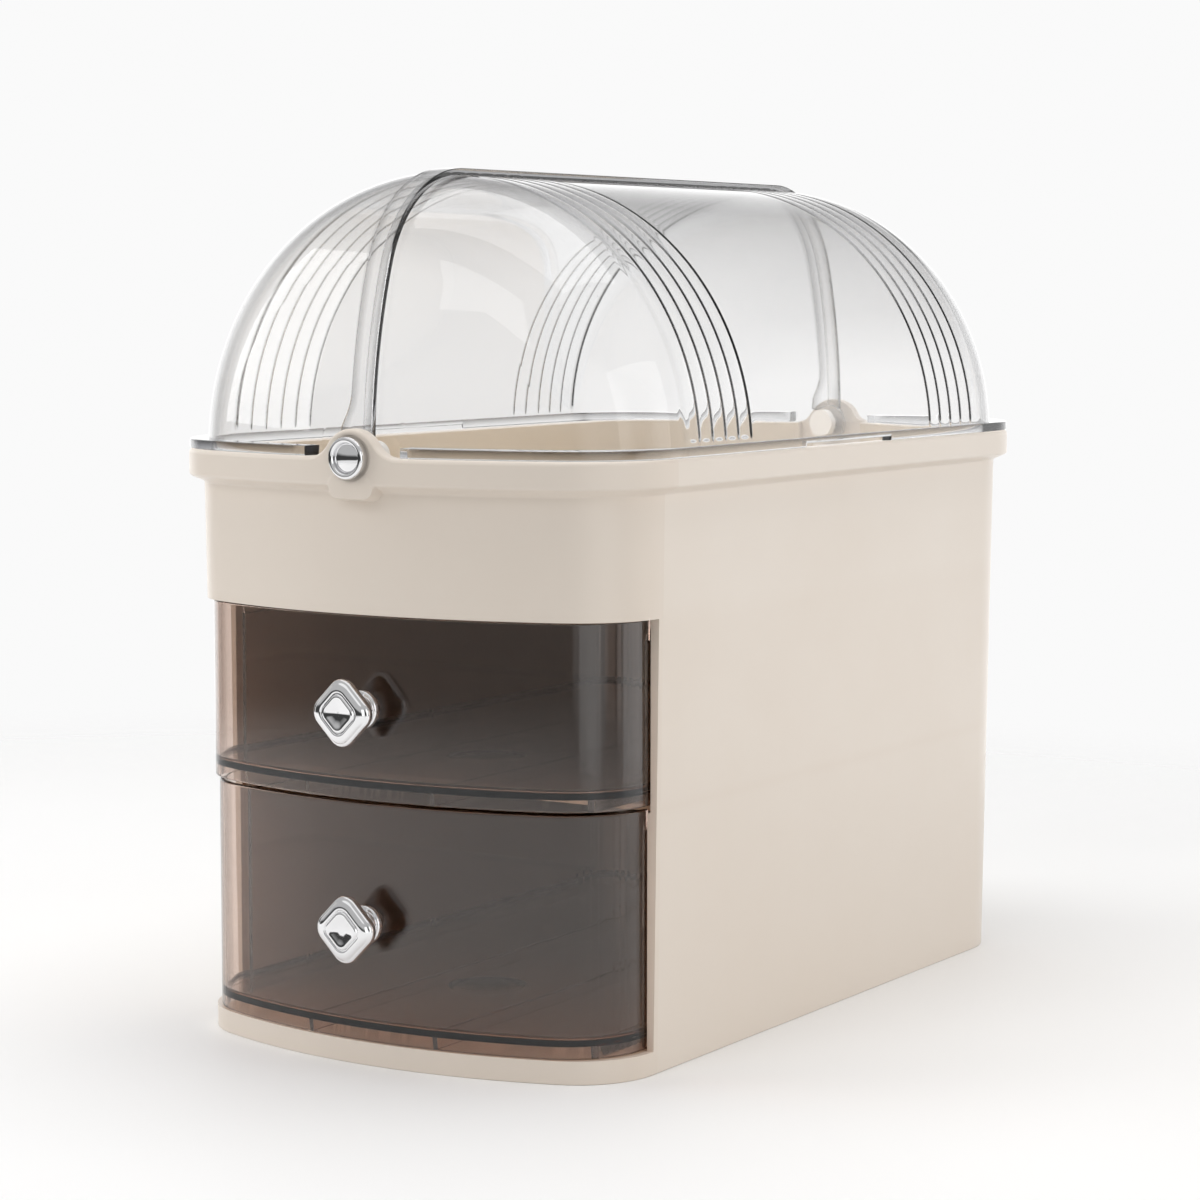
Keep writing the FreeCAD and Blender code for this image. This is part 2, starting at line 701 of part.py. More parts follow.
def make_drawer(plan):
    """A drawer with a bowed full-height front, lower walls behind it and runners below."""
    body = new_body(f"{plan.name}_drawer")
    half = plan.half
    low = plan.low
    top = plan.top
    floor_low = f"{low} + drawer_skirt"
    floor_top = f"{floor_low} + drawer_floor"

    front = End(plan.reach, "corner_radius", "bow_radius")
    rear = End(DRAWER_REAR, "drawer_rear_corner")
    inner_half = f"{half} - drawer_wall"
    inner_front = front.shift("drawer_front_wall")
    inner_rear = rear.shift("drawer_wall")
    raised(body, "block", low, top, lambda s: outline(s, half, front, rear))
    sunk(body, "inside", top, floor_top, lambda s: outline(s, inner_half, inner_front, inner_rear))
    sunk(body, "under", floor_low, low, lambda s: outline(s, inner_half, inner_front, inner_rear))
    sunk(body, "walls", top, plan.wall_top, lambda s: rectangle(
        s, f"-({half}) * 2", f"({half}) * 2", f"front_depth - ({SIDE_END})", "reach * 2"))
    raised(body, "lug", plan.wall_top, f"{plan.wall_top} + stop_lug_high", lambda s: rectangle(
        s, "-stop_lug_half", "stop_lug_half", f"{DRAWER_REAR} - drawer_wall", DRAWER_REAR))

    for index in range(RUNNERS):
        share = 2 * index / (RUNNERS - 1) - 1
        middle = f"{share} * (half_width - runner_inset)"
        nose = front.shift("drawer_front_wall / 2").reach_at(half, f"abs({middle})")
        raised(body, f"runner_{index + 1}", low, floor_low, lambda s: rectangle(
            s, f"{middle} - runner_thick / 2", f"{middle} + runner_thick / 2",
            f"-({nose})", f"{DRAWER_REAR} - drawer_wall / 2"))
    sunk(body, "floor_disc", floor_top, f"{floor_top} - floor_disc_depth",
         lambda s: disc(s, "floor_disc_radius", "floor_disc_inset - reach"))

    outward(body, "knob_seat", f"{plan.reach} + seat_high", "drawer_front_wall", plan.knob,
            lambda s: disc(s, "seat_radius"))
    outward(body, "screw_seat", f"{plan.reach} - drawer_front_wall / 2",
            "drawer_front_wall / 2 + inner_seat_high", plan.knob,
            lambda s: disc(s, "inner_seat_radius"))
    outward(body, "screw_hole", f"{plan.reach} + {OVERSHOOT}",
            f"drawer_front_wall + 2 * {OVERSHOOT}", plan.knob,
            lambda s: disc(s, "screw_radius + screw_clearance"), 1, "Pocket")
    return body


# Knobs and screws


def rounded_square(name, half, corner, distance, height):
    """A rounded square standing on its corner, facing the front."""
    sketch = doc.addObject("Sketcher::SketchObject", name)
    upright = FreeCAD.Rotation(FreeCAD.Vector(0, 0, 1), 45)
    sketch.Placement = FreeCAD.Placement(FreeCAD.Vector(), TO_FRONT.multiply(upright))
    bind(sketch, Placement__Base__y=f"-({distance})", Placement__Base__z=height)
    end = End(half, corner)
    outline(sketch, half, end, end)
    return sketch


def make_knob(plan):
    """A knob with a ringed neck and a stepped, dished face, bored for its screw."""
    name = f"{plan.name}_knob"
    height = plan.knob
    seat = f"{plan.reach} + seat_high"

    def at(distance):
        return ("0", f"-({seat} + {distance})", height)

    def square(label, half, corner, distance):
        return rounded_square(f"{name}_{label}_sketch", half, corner, f"{seat} + {distance}", height)

    foot = primitive("Cylinder", f"{name}_foot", at("0"), TO_FRONT,
                     Radius="knob_foot_radius", Height="knob_foot_high")
    neck = primitive("Cylinder", f"{name}_neck", at("0"), TO_FRONT,
                     Radius="knob_neck_radius", Height="knob_band_at")
    ring = primitive("Torus", f"{name}_ring", at("knob_ring_at"), TO_FRONT,
                     Radius1="knob_neck_radius", Radius2="knob_ring_radius")
    back = extruded(f"{name}_back",
                    square("back", "knob_back_half", "knob_back_corner", "knob_back_at"),
                    "knob_band_at - knob_back_at",
                    "atan((knob_half - knob_back_half) / (knob_band_at - knob_back_at))")
    band = extruded(f"{name}_band", square("band", "knob_half", "knob_corner", "knob_band_at"),
                    "knob_face_at - knob_band_at")
    face = extruded(f"{name}_face", square("face", "knob_half", "knob_corner", "knob_face_at"),
                    "knob_length - knob_face_at",
                    "-atan((knob_half - knob_face_half) / (knob_length - knob_face_at))")
    solid = joined(f"{name}_solid", [foot, neck, ring, back, band, face])

    groove_at = "knob_length - knob_groove_deep"
    outer = extruded(f"{name}_groove_outer",
                     square("groove_outer", "knob_groove_half", "knob_face_corner", groove_at),
                     "knob_groove_deep * 2")
    inner = extruded(f"{name}_groove_inner",
                     square("groove_inner", "knob_groove_half - knob_groove_wide",
                            "knob_face_corner - knob_groove_wide", groove_at),
                     "knob_groove_deep * 2")
    groove = removed(f"{name}_groove", outer, inner)
    dish = primitive("Sphere", f"{name}_dish", at("knob_length + knob_dish_radius - knob_dish_deep"),
                     Radius="knob_dish_radius")
    bore = primitive("Cylinder", f"{name}_bore", at("-screw_clearance"), TO_FRONT,
                     Radius="screw_radius + screw_clearance", Height="screw_bite + 4 * screw_clearance")
    return removed(name, solid, grouped(f"{name}_cuts", [groove, dish, bore]))


def make_knob_screw(plan):
    """A pan head screw from inside the drawer, with a crossed slot."""
    name = f"{plan.name}_knob_screw"
    height = plan.knob
    under_head = f"{plan.reach} - drawer_front_wall - inner_seat_high"
    length = "drawer_front_wall + inner_seat_high + seat_high + screw_bite"
    shank = primitive("Cylinder", f"{name}_shank", ("0", f"-({under_head})", height), TO_FRONT,
                      Radius="screw_radius", Height=length)
    head = primitive("Cylinder", f"{name}_head",
                     ("0", f"-({under_head} - screw_head_high)", height), TO_FRONT,
                     Radius="screw_head_radius", Height="screw_head_high")
    back = f"-({under_head} - screw_head_high + screw_slot_deep)"
    slots = []
    for label, wide, tall in (("across", "screw_slot_long", "screw_slot_wide"),
                              ("upright", "screw_slot_wide", "screw_slot_long")):
        place = (f"-{wide} / 2", back, f"{height} - {tall} / 2")
        slots.append(primitive("Box", f"{name}_{label}", place,
                               Length=wide, Width="screw_slot_deep * 2", Height=tall))
    solid = joined(f"{name}_solid", [shank, head])
    return removed(name, solid, grouped(f"{name}_slots", slots))


# Lids


def flange_half(name, sign, radius, reach):
    """Half of the flat ring that rests on the rim, kept clear of the humps."""
    sketch = doc.addObject("Sketcher::SketchObject", f"{name}_sketch")
    bind(sketch, Placement__Base__z="rim_top + lid_lift")
    bowed_outline(sketch, "rim_growth - flange_inset")
    end = End(reach, "lid_corner", "bow_radius").shift(FLANGE_BITE)
    outline(sketch, f"{radius} - ({FLANGE_BITE})", end, end)
    ring = extruded(f"{name}_ring", sketch, "flange_high")
    span = "half_width * 2"
    low = "flange_start" if sign > 0 else f"-flange_start - {span}"
    keep = primitive("Box", f"{name}_keep", (low, "-reach * 2", "rim_top - ledge"),
                     Length=span, Width="reach * 4", Height="flange_high * 4")
    return shared(name, [ring, keep])


def flute_grooves(name, radius):
    """The ring grooves that part the flutes of both bands."""
    rings = []
    for sign, band in ((-1, "front"), (1, "rear")):
        for index in range(GROOVES_PER_BAND):
            along = f"{LID_SIDE_END} + flute_past - {index} * flute_pitch"
            place = ("0", f"{sign} * ({along})", "rim_top")
            rings.append(primitive(
                "Torus", f"{name}_{band}_{index + 1}", place, TO_FRONT,
                Radius1=f"{radius} + flute_groove_radius - flute_groove_deep",
                Radius2="flute_groove_radius"))
    return grouped(name, rings)


def ear_pair(name, inside, outside, radius):
    """Round ears on the pivot axis, one at each end, between two distances from the middle."""
    ears = []
    for sign, turn, end in ((-1, TO_FRONT, "front"), (1, TO_REAR, "rear")):
        ears.append(primitive("Cylinder", f"{name}_{end}",
                              ("0", f"{sign} * ({inside})", "rim_top"), turn,
                              Radius=radius, Height=f"{outside} - ({inside})"))
    return ears


def make_lid(side):
    """A half dome turned about the pivots; the left one lies outside and carries the seam strip."""
    name = f"{side}_lid"
    sign = 1 if side == "right" else -1
    growth = "0" if side == "left" else "-(lid_wall + lid_gap)"
    radius = f"{LID_RADIUS} + {growth}"
    reach = f"{LID_REACH} + {growth}"

    turned = doc.addObject("Part::Revolution", f"{name}_turned")
    turned.Source = dome_profile(f"{name}_profile", growth, "lid_wall")
    turned.Axis = FreeCAD.Vector(0, sign, 0)
    turned.Angle = 90
    turned.Solid = True
    bind(turned, Base__z="rim_top")
    pieces = [removed(f"{name}_fluted", turned, flute_grooves(f"{name}_grooves", radius))]
    if side == "left":
        profile = dome_profile(f"{name}_strip_profile", "strip_proud", "strip_proud + lid_wall")
        pieces.append(extruded(f"{name}_strip", profile, "strip_half * 2", symmetric=True))
    dome = joined(f"{name}_dome", pieces) if len(pieces) > 1 else pieces[0]
    floor = primitive("Box", f"{name}_underside",
                      ("-half_width * 2", "-reach * 2", "rim_top - flange_high"),
                      Length="half_width * 4", Width="reach * 4", Height="flange_high + lid_lift")
    lifted = removed(f"{name}_lifted", dome, floor)

    if side == "left":
        inside = f"{reach} - lid_wall"
        outside = f"{inside} + ear_thick + lid_gap"
        ears = ear_pair(f"{name}_ear", inside, outside, "ear_radius")
        keep = primitive("Box", f"{name}_flare_keep",
                         ("-flare_radius * 2", "-reach * 2", "rim_top + lid_lift"),
                         Length="flare_radius * 2 + strip_half", Width="reach * 4",
                         Height="flare_radius * 2")
        discs = grouped(f"{name}_flare_discs",
                        ear_pair(f"{name}_flare", inside, outside, "flare_radius"))
        ears.append(shared(f"{name}_flares", [discs, keep]))
    else:
        outside = f"{reach} - lid_gap"
        ears = ear_pair(f"{name}_ear", f"{outside} - ear_thick", outside, "ear_radius")

    flange = flange_half(f"{name}_flange", sign, radius, reach)
    solid = joined(f"{name}_solid", [lifted, flange] + ears)
    bore = primitive("Cylinder", f"{name}_bore", ("0", "reach * 2", "rim_top"), TO_FRONT,
                     Radius="pin_radius + pin_clearance", Height="reach * 4")
    low = radius if sign > 0 else f"-({radius}) - half_width"
    finger = primitive("Box", f"{name}_finger", (low, "-finger_half", "rim_top - ledge"),
                       Length="half_width", Width="finger_half * 2",
                       Height="ledge + lid_lift + finger_high")
    return removed(name, solid, grouped(f"{name}_cuts", [bore, finger]))


# Pivots


def make_rivet(end):
    """A domed rivet with a raised edge, its shank through the hump and both lids' ears."""
    name = f"{end}_rivet"
    sign, turn = (-1, TO_FRONT) if end == "front" else (1, TO_REAR)
    seat = "reach + rim_growth - spot_deep"
    tip = f"{EARS_INSIDE} - retainer_thick + retainer_skin"

    def at(distance):
        return ("0", f"{sign} * ({distance})", "rim_top")

    shank = primitive("Cylinder", f"{name}_shank", at(tip), turn,
                      Radius="pin_radius", Height=f"{seat} - ({tip})")
    blank = primitive("Cylinder", f"{name}_blank", at(seat), turn,
                      Radius="rivet_head_radius - rivet_edge_wide", Height="rivet_head_high * 2")
    bulge = "(rivet_head_radius^2 + rivet_head_high^2) / (2 * rivet_head_high)"
    ball = primitive("Sphere", f"{name}_ball", at(f"{seat} + rivet_head_high - {bulge}"), Radius=bulge)
    dome = shared(f"{name}_dome", [blank, ball])
    edge = primitive("Cylinder", f"{name}_edge", at(seat), turn,
                     Radius="rivet_head_radius", Height="rivet_edge_high")
    return joined(name, [shank, dome, edge])


def make_rivet_retainer(end):
    """A blind cap pressed on the inner end of the rivet."""
    name = f"{end}_rivet_retainer"
    sign, turn = (-1, TO_FRONT) if end == "front" else (1, TO_REAR)
    back = f"{EARS_INSIDE} - retainer_thick"
    cap = primitive("Cylinder", f"{name}_cap", ("0", f"{sign} * ({back})", "rim_top"), turn,
                    Radius="retainer_radius", Height="retainer_thick")
    bore = primitive("Cylinder", f"{name}_bore",
                     ("0", f"{sign} * ({back} + retainer_skin)", "rim_top"), turn,
                     Radius="pin_radius - pin_press", Height="retainer_thick")
    return removed(name, cap, bore)


# Assembly

lower = DrawerPlan(
    "lower",
    half="half_width - wall - side_gap",
    low="plinth_top + drawer_lift",
    top=f"{SHELF_TOP} + drawer_lift - front_gap",
    wall_top="shelf_ledge - lower_headroom",
    reach="reach + lower_proud",
)
upper = DrawerPlan(
    "upper",
    half="half_width - wall + ledge - side_gap",
    low=f"{SHELF_TOP} + drawer_lift",
    top=f"{BAND_LOW} - band_gap",
    wall_top="tray_ledge - upper_headroom",
    reach="reach + upper_proud",
)
nodes = [
    make_cabinet_shell(),
    make_base_plate(),
    make_middle_shelf(),
    make_tray_floor(),
    make_drawer(lower),
    make_drawer(upper),
    make_knob(lower),
    make_knob(upper),
    make_knob_screw(lower),
    make_knob_screw(upper),
    make_lid("left"),
    make_lid("right"),
    make_rivet("front"),
    make_rivet("rear"),
    make_rivet_retainer("front"),
    make_rivet_retainer("rear"),
]
doc.recompute()

for item in doc.Objects:
    if {"Invalid", "Error"} & set(item.State):
        raise RuntimeError(f"{item.Name} did not recompute: {item.State}")

os.makedirs("parts", exist_ok=True)
for node in nodes:
    if node.Shape.isNull() or not node.Shape.isValid():
        raise RuntimeError(f"{node.Label} has no valid shape")
    if len(node.Shape.Solids) != 1:
        raise RuntimeError(f"{node.Label} is not one solid")
    node.Shape.exportStep(f"parts/{node.Label}.step")
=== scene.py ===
import logging
import math
from dataclasses import dataclass, field
from enum import Enum
from typing import Any, Optional, Sequence, Union

import bmesh
import bpy
import numpy as np
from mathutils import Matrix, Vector


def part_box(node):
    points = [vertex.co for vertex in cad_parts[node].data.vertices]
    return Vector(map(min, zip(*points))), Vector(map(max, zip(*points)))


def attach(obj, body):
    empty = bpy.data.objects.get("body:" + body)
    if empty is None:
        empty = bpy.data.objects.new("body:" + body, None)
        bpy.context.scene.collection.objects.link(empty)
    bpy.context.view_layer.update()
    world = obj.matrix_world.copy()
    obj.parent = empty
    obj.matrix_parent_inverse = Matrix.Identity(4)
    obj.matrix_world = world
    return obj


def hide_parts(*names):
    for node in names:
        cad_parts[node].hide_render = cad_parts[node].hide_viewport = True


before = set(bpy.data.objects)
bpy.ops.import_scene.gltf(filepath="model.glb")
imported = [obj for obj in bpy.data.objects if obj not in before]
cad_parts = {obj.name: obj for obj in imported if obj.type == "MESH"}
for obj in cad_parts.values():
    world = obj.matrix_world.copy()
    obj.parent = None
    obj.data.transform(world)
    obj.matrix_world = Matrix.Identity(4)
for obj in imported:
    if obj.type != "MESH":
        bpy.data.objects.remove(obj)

# A bowed storage box: a cream cabinet, two smoked drawers and a clear dome of two half lids, dressed round
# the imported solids. Lengths are in metres, and MM turns the millimetres of a class's own sizes into them.

LOG = logging.getLogger("storage_box")

MM = 0.001
Array = np.ndarray
Level = Union[float, Array]
Colour = tuple[float, float, float, float]


class Side(Enum):
    """The side that a half lid covers, as the sign of its x."""

    LEFT = -1.0
    RIGHT = 1.0


class End(Enum):
    """An end of the box, as the sign of its y."""

    FRONT = -1.0
    REAR = 1.0


def ease(value: Level, start: float, end: float) -> Array:
    """A smooth rise from 0 at start to 1 at end, level at both.

    Args:
        value: Where the rise is read.
        start: Value that gives 0.
        end: Value that gives 1, above or below start.

    Returns:
        The cubic 3t^2 - 2t^3 of the clamped share t of the way from start to end.
    """
    share = np.clip((np.asarray(value) - start) / (end - start), 0.0, 1.0)
    return share * share * (3.0 - 2.0 * share)


def blend(first: Level, second: Level, share: Level) -> Array:
    """The value that lies the given share of the way from first to second."""
    return np.asarray(first) * (1.0 - np.asarray(share)) + np.asarray(second) * np.asarray(share)


class Surface:
    """Grids of points that are gathered into one closed mesh."""

    def __init__(self) -> None:
        """Start with no grids."""
        self._points: list[Array] = []
        self._faces: list[Array] = []
        self._slots: list[Array] = []
        self._shade_lines: list[Array] = []
        self._count = 0

    def grid(self, points: Array, round_rows: bool = False, round_columns: bool = False,
             keep: Optional[Array] = None, slots: Optional[Array] = None,
             shade_line: Optional[Array] = None) -> None:
        """Add the quads between neighbouring points of a grid.

        Args:
            points: Rows by columns by three coordinates.
            round_rows: Whether the last row joins the first.
            round_columns: Whether the last column joins the first.
            keep: Mask of the cells that get a face, or None for all of them.
            slots: The rows' material numbers, or None for the first material.
            shade_line: How dark each point's painted shade line is, or None for no line.
        """
        rows, columns = points.shape[:2]
        row, column = np.meshgrid(np.arange(rows if round_rows else rows - 1),
                                  np.arange(columns if round_columns else columns - 1), indexing="ij")
        below, after = (row + 1) % rows, (column + 1) % columns
        quads = np.stack([row * columns + column, row * columns + after,
                          below * columns + after, below * columns + column], axis=-1)
        numbers = np.zeros_like(row) if slots is None else np.broadcast_to(slots[:, None], row.shape)
        kept = np.ones(row.shape, dtype=bool) if keep is None else keep
        self._slots.append(numbers[kept])
        self._shade_lines.append(np.zeros(rows * columns) if shade_line is None else shade_line.ravel())
        self._points.append(points.reshape(-1, 3))
        self._faces.append(quads[kept] + self._count)
        self._count += rows * columns

    def build(self, name: str, crease: float = 38.0) -> bpy.types.Object:
        """Merge the grids' shared points and make one object of them.

        Args:
            name: The piece's name.
            crease: Angle in degrees past which an edge is drawn sharp.

        Returns:
            The object, in the scene, with its faces pointing outwards.
        """
        points, quads = np.concatenate(self._points), np.concatenate(self._faces)
        mesh = bpy.data.meshes.new(name)
        mesh.vertices.add(len(points))
        mesh.vertices.foreach_set("co", points.ravel())
        mesh.loops.add(quads.size)
        mesh.loops.foreach_set("vertex_index", quads.ravel())
        mesh.polygons.add(len(quads))
        mesh.polygons.foreach_set("loop_start", np.arange(0, quads.size, 4))
        mesh.polygons.foreach_set("material_index", np.concatenate(self._slots))
        # The tone attribute holds painted shade lines, which the clear finishes darken their colour by.
        mesh.attributes.new("shade_line", "FLOAT", "POINT").data.foreach_set("value", np.concatenate(self._shade_lines))
        mesh.update(calc_edges=True)
        form = bmesh.new()
        form.from_mesh(mesh)
        bmesh.ops.remove_doubles(form, verts=form.verts, dist=0.002 * MM)
        bmesh.ops.dissolve_degenerate(form, edges=form.edges, dist=0.001 * MM)
        bmesh.ops.recalc_face_normals(form, faces=form.faces)
        form.to_mesh(mesh)
        form.free()
        mesh.shade_smooth()
        mesh.set_sharp_from_angle(angle=math.radians(crease))
        piece = bpy.data.objects.new(name, mesh)
        bpy.context.scene.collection.objects.link(piece)
        normals = piece.modifiers.new("even_normals", "WEIGHTED_NORMAL")
        normals.keep_sharp = True
        return piece


@dataclass(frozen=True)
class BowedOutline:
    """A plan outline with flat sides, round corners and bowed ends, alike at the front and the rear.

    The circles of a bow and of its corners touch, so the outline moved out along its normals is another such
    outline with every radius larger by the same length.
    """

    half: float
    reach: float
    bow: float
    corner: float

    @property
    def along(self) -> float:
        """Distance from the middle at which a side meets its corner."""
        run = math.sqrt((self.bow - self.corner) ** 2 - (self.half - self.corner) ** 2)
        return self.reach - self.bow + run

    @property
    def turn(self) -> float:
        """Angle of the normal, from straight ahead, at which a bow meets its corner."""
        return math.atan2(self.half - self.corner, self.along - self.reach + self.bow)

    def grown(self, offset: float) -> "BowedOutline":
        """The outline at an even distance outside this one."""
        return BowedOutline(self.half + offset, self.reach + offset, self.bow + offset, self.corner + offset)

    def at(self, angle: Array) -> tuple[Array, Array]:
        """Points of one end by the angle of their normal from straight ahead.

        Args:
            angle: Angles from minus to plus a right angle.

        Returns:
            The distance to the side and the distance ahead. Up to the turn they lie on the bow's circle, at
            bow sin a and reach - bow + bow cos a, and past it on the corner's circle.
        """
        size, sign = np.abs(angle), np.sign(angle)
        bowed = size <= self.turn
        aside = np.where(bowed, self.bow * np.sin(size), self.half - self.corner + self.corner * np.sin(size))
        ahead = np.where(bowed, self.reach - self.bow + self.bow * np.cos(size),
                         self.along + self.corner * np.cos(size))
        return sign * aside, ahead


@dataclass(frozen=True)
class Loop:
    """A closed run of plan points with their outward normals, left to right across the front first."""

    place: Array
    normal: Array
    front: int

    def lifted(self, offset: Level, height: Level) -> Array:
        """Points moved out along the normals and set at a height.

        Args:
            offset: How far out, for all points or for each.
            height: How high, for all points or for each.

        Returns:
            One row of coordinates for each point.
        """
        count = len(self.place)
        plan = self.place + np.broadcast_to(offset, count)[:, None] * self.normal
        return np.column_stack([plan, np.broadcast_to(height, count)])


def loop_round(outline: BowedOutline, angles: Array, sides: Array) -> Loop:
    """A loop round a whole outline.

    Args:
        outline: The outline to follow.
        angles: Rising normal angles across an end, from minus to plus a right angle.
        sides: Rising shares of a side's length, between its two ends.

    Returns:
        The front from left to right, the right side, the rear and the left side.
    """
    across, ahead = outline.at(angles)
    run = (2.0 * sides - 1.0) * outline.along
    out = np.column_stack([np.sin(angles), -np.cos(angles)])
    flank = np.tile([1.0, 0.0], (len(run), 1))
    place = np.concatenate([np.column_stack([across, -ahead]),
                            np.column_stack([np.full_like(run, outline.half), run]),
                            np.column_stack([across, ahead])[::-1],
                            np.column_stack([np.full_like(run, -outline.half), run[::-1]])])
    normal = np.concatenate([out, flank, (out * [1.0, -1.0])[::-1], -flank])
    return Loop(place, normal, len(angles))


class Tree:
    """A node tree with short ways to add and to link nodes."""

    def __init__(self, tree: bpy.types.NodeTree) -> None:
        """Keep the tree that nodes are added to."""
        self.tree = tree

    def add(self, kind: str, inputs: Optional[dict[Any, Any]] = None, **settings: Any) -> bpy.types.Node:
        """Add a node.

        Args:
            kind: Node type without its ShaderNode prefix.
            inputs: Socket name or number to a value, or to an output socket to link from.
            settings: The node's own properties.

        Returns:
            The new node.
        """
        node = self.tree.nodes.new("ShaderNode" + kind)
        for name, value in settings.items():
            setattr(node, name, value)
        for name, value in (inputs or {}).items():
            if isinstance(value, bpy.types.NodeSocket):
                self.tree.links.new(value, node.inputs[name])
            else:
                node.inputs[name].default_value = value
        return node

    def noise(self, where: bpy.types.NodeSocket, scale: float, detail: float = 3.0,
              rough: float = 0.55) -> bpy.types.NodeSocket:
        """The grey value of a noise texture read at a place."""
        return self.add("TexNoise", {"Vector": where, "Scale": scale, "Detail": detail,
                                     "Roughness": rough}).outputs["Fac"]

    def spread(self, value: bpy.types.NodeSocket, low: float, high: float, start: float,
               end: float) -> bpy.types.NodeSocket:
        """A value stretched from low..high to start..end and clamped."""
        return self.add("MapRange", {"Value": value, "From Min": low, "From Max": high, "To Min": start,
                                     "To Max": end}).outputs["Result"]

    def math(self, operation: str, first: Any, second: Any = 0.0) -> bpy.types.NodeSocket:
        """The result of a Math node on two values, each a number or an output socket."""
        return self.add("Math", {0: first, 1: second}, operation=operation).outputs["Value"]

    def link(self, source: bpy.types.NodeSocket, target: bpy.types.NodeSocket) -> None:
        """Join an output socket to an input socket."""
        self.tree.links.new(source, target)

    def tint(self, share: bpy.types.NodeSocket, first: Colour, second: Colour) -> bpy.types.NodeSocket:
        """A colour between two.

        Args:
            share: Share of the second colour, which changes over the surface.
            first: The colour where the share is 0.
            second: The colour where the share is 1.

        Returns:
            The mixed colour's socket.
        """
        mix = self.add("Mix", {"Factor": share}, data_type="RGBA")
        mix.inputs[6].default_value = first
        mix.inputs[7].default_value = second
        return mix.outputs[2]


def new_group(name: str, inputs: Sequence[tuple[str, float]], outputs: Sequence[str]) -> Tree:
    """An empty shader node group.

    Args:
        name: The group's name.
        inputs: Names and first values of its number inputs.
        outputs: Names of its number outputs.

    Returns:
        Its tree, with the group's input and output nodes named "in" and "out".
    """
    group = bpy.data.node_groups.new(name, "ShaderNodeTree")
    for label, value in inputs:
        group.interface.new_socket(label, in_out="INPUT", socket_type="NodeSocketFloat").default_value = value
    for label in outputs:
        group.interface.new_socket(label, in_out="OUTPUT", socket_type="NodeSocketFloat")
    group.nodes.new("NodeGroupInput").name = "in"
    group.nodes.new("NodeGroupOutput").name = "out"
    return Tree(group)


def moulded_skin() -> bpy.types.NodeTree:
    """The skin of moulded plastic: fine grain in the height, and gloss that varies in soft clouds.

    Returns:
        A group with inputs Grain Size, Gloss Low and Gloss High and outputs Roughness, Height and Cloud.
    """
    tree = new_group("moulded_skin", [("Grain Size", 2600.0), ("Gloss Low", 0.25), ("Gloss High", 0.35)],
                     ["Roughness", "Height", "Cloud"])
    given, out = tree.tree.nodes["in"], tree.tree.nodes["out"]
    where = tree.add("TexCoord").outputs["Object"]
    cloud = tree.noise(where, 16.0, 4.0)
    grain = tree.add("TexNoise", {"Vector": where, "Scale": given.outputs["Grain Size"], "Detail": 2.0})
    swell = tree.noise(where, 70.0, 2.0)
    gloss = tree.add("MapRange", {"Value": cloud, "From Min": 0.3, "From Max": 0.7,
                                  "To Min": given.outputs["Gloss Low"], "To Max": given.outputs["Gloss High"]})
    height = tree.math("ADD", grain.outputs["Fac"], tree.spread(swell, 0.0, 1.0, 0.0, 2.0))
    tree.link(gloss.outputs["Result"], out.inputs["Roughness"])
    tree.link(height, out.inputs["Height"])
    tree.link(cloud, out.inputs["Cloud"])
    return tree.tree


def handling_marks() -> bpy.types.NodeTree:
    """Marks of handling: sparse specks of dust, hair scratches and broad wiped patches.

    Returns:
        A group with the inputs Speck Size and Scratch Size and the outputs Specks, Scratches and Wiped.
    """
    tree = new_group("handling_marks", [("Speck Size", 420.0), ("Scratch Size", 60.0)],
                     ["Specks", "Scratches", "Wiped"])
    given, out = tree.tree.nodes["in"], tree.tree.nodes["out"]
    where = tree.add("TexCoord").outputs["Object"]
    cells = tree.add("TexVoronoi", {"Vector": where, "Scale": given.outputs["Speck Size"]})
    chosen = tree.spread(tree.noise(where, 90.0, 1.0), 0.62, 0.70, 0.0, 1.0)
    specks = tree.math("MULTIPLY", tree.spread(cells.outputs["Distance"], 0.16, 0.08, 0.0, 1.0), chosen)
    turned = tree.add("Mapping", {"Vector": where, "Rotation": (0.4, 0.9, 0.7), "Scale": (1.0, 14.0, 1.0)})
    lines = tree.add("TexNoise", {"Vector": turned.outputs["Vector"], "Scale": given.outputs["Scratch Size"],
                                  "Detail": 5.0, "Roughness": 0.7})
    wiped = tree.noise(where, 22.0, 5.0, 0.65)
    tree.link(specks, out.inputs["Specks"])
    tree.link(tree.spread(lines.outputs["Fac"], 0.66, 0.76, 0.0, 1.0), out.inputs["Scratches"])
    tree.link(tree.spread(wiped, 0.48, 0.72, 0.0, 1.0), out.inputs["Wiped"])
    return tree.tree


@dataclass(frozen=True)
class Finish:
    """What every finish shares: a name and the way a material is started."""

    name: str

    def start(self) -> tuple[bpy.types.Material, Tree, bpy.types.Node]:
        """An empty node material.

        Returns:
            The material, its tree and its output node.
        """
        material = bpy.data.materials.new(self.name)
        material.use_nodes = True
        material.node_tree.nodes.clear()
        tree = Tree(material.node_tree)
        return material, tree, tree.add("OutputMaterial")


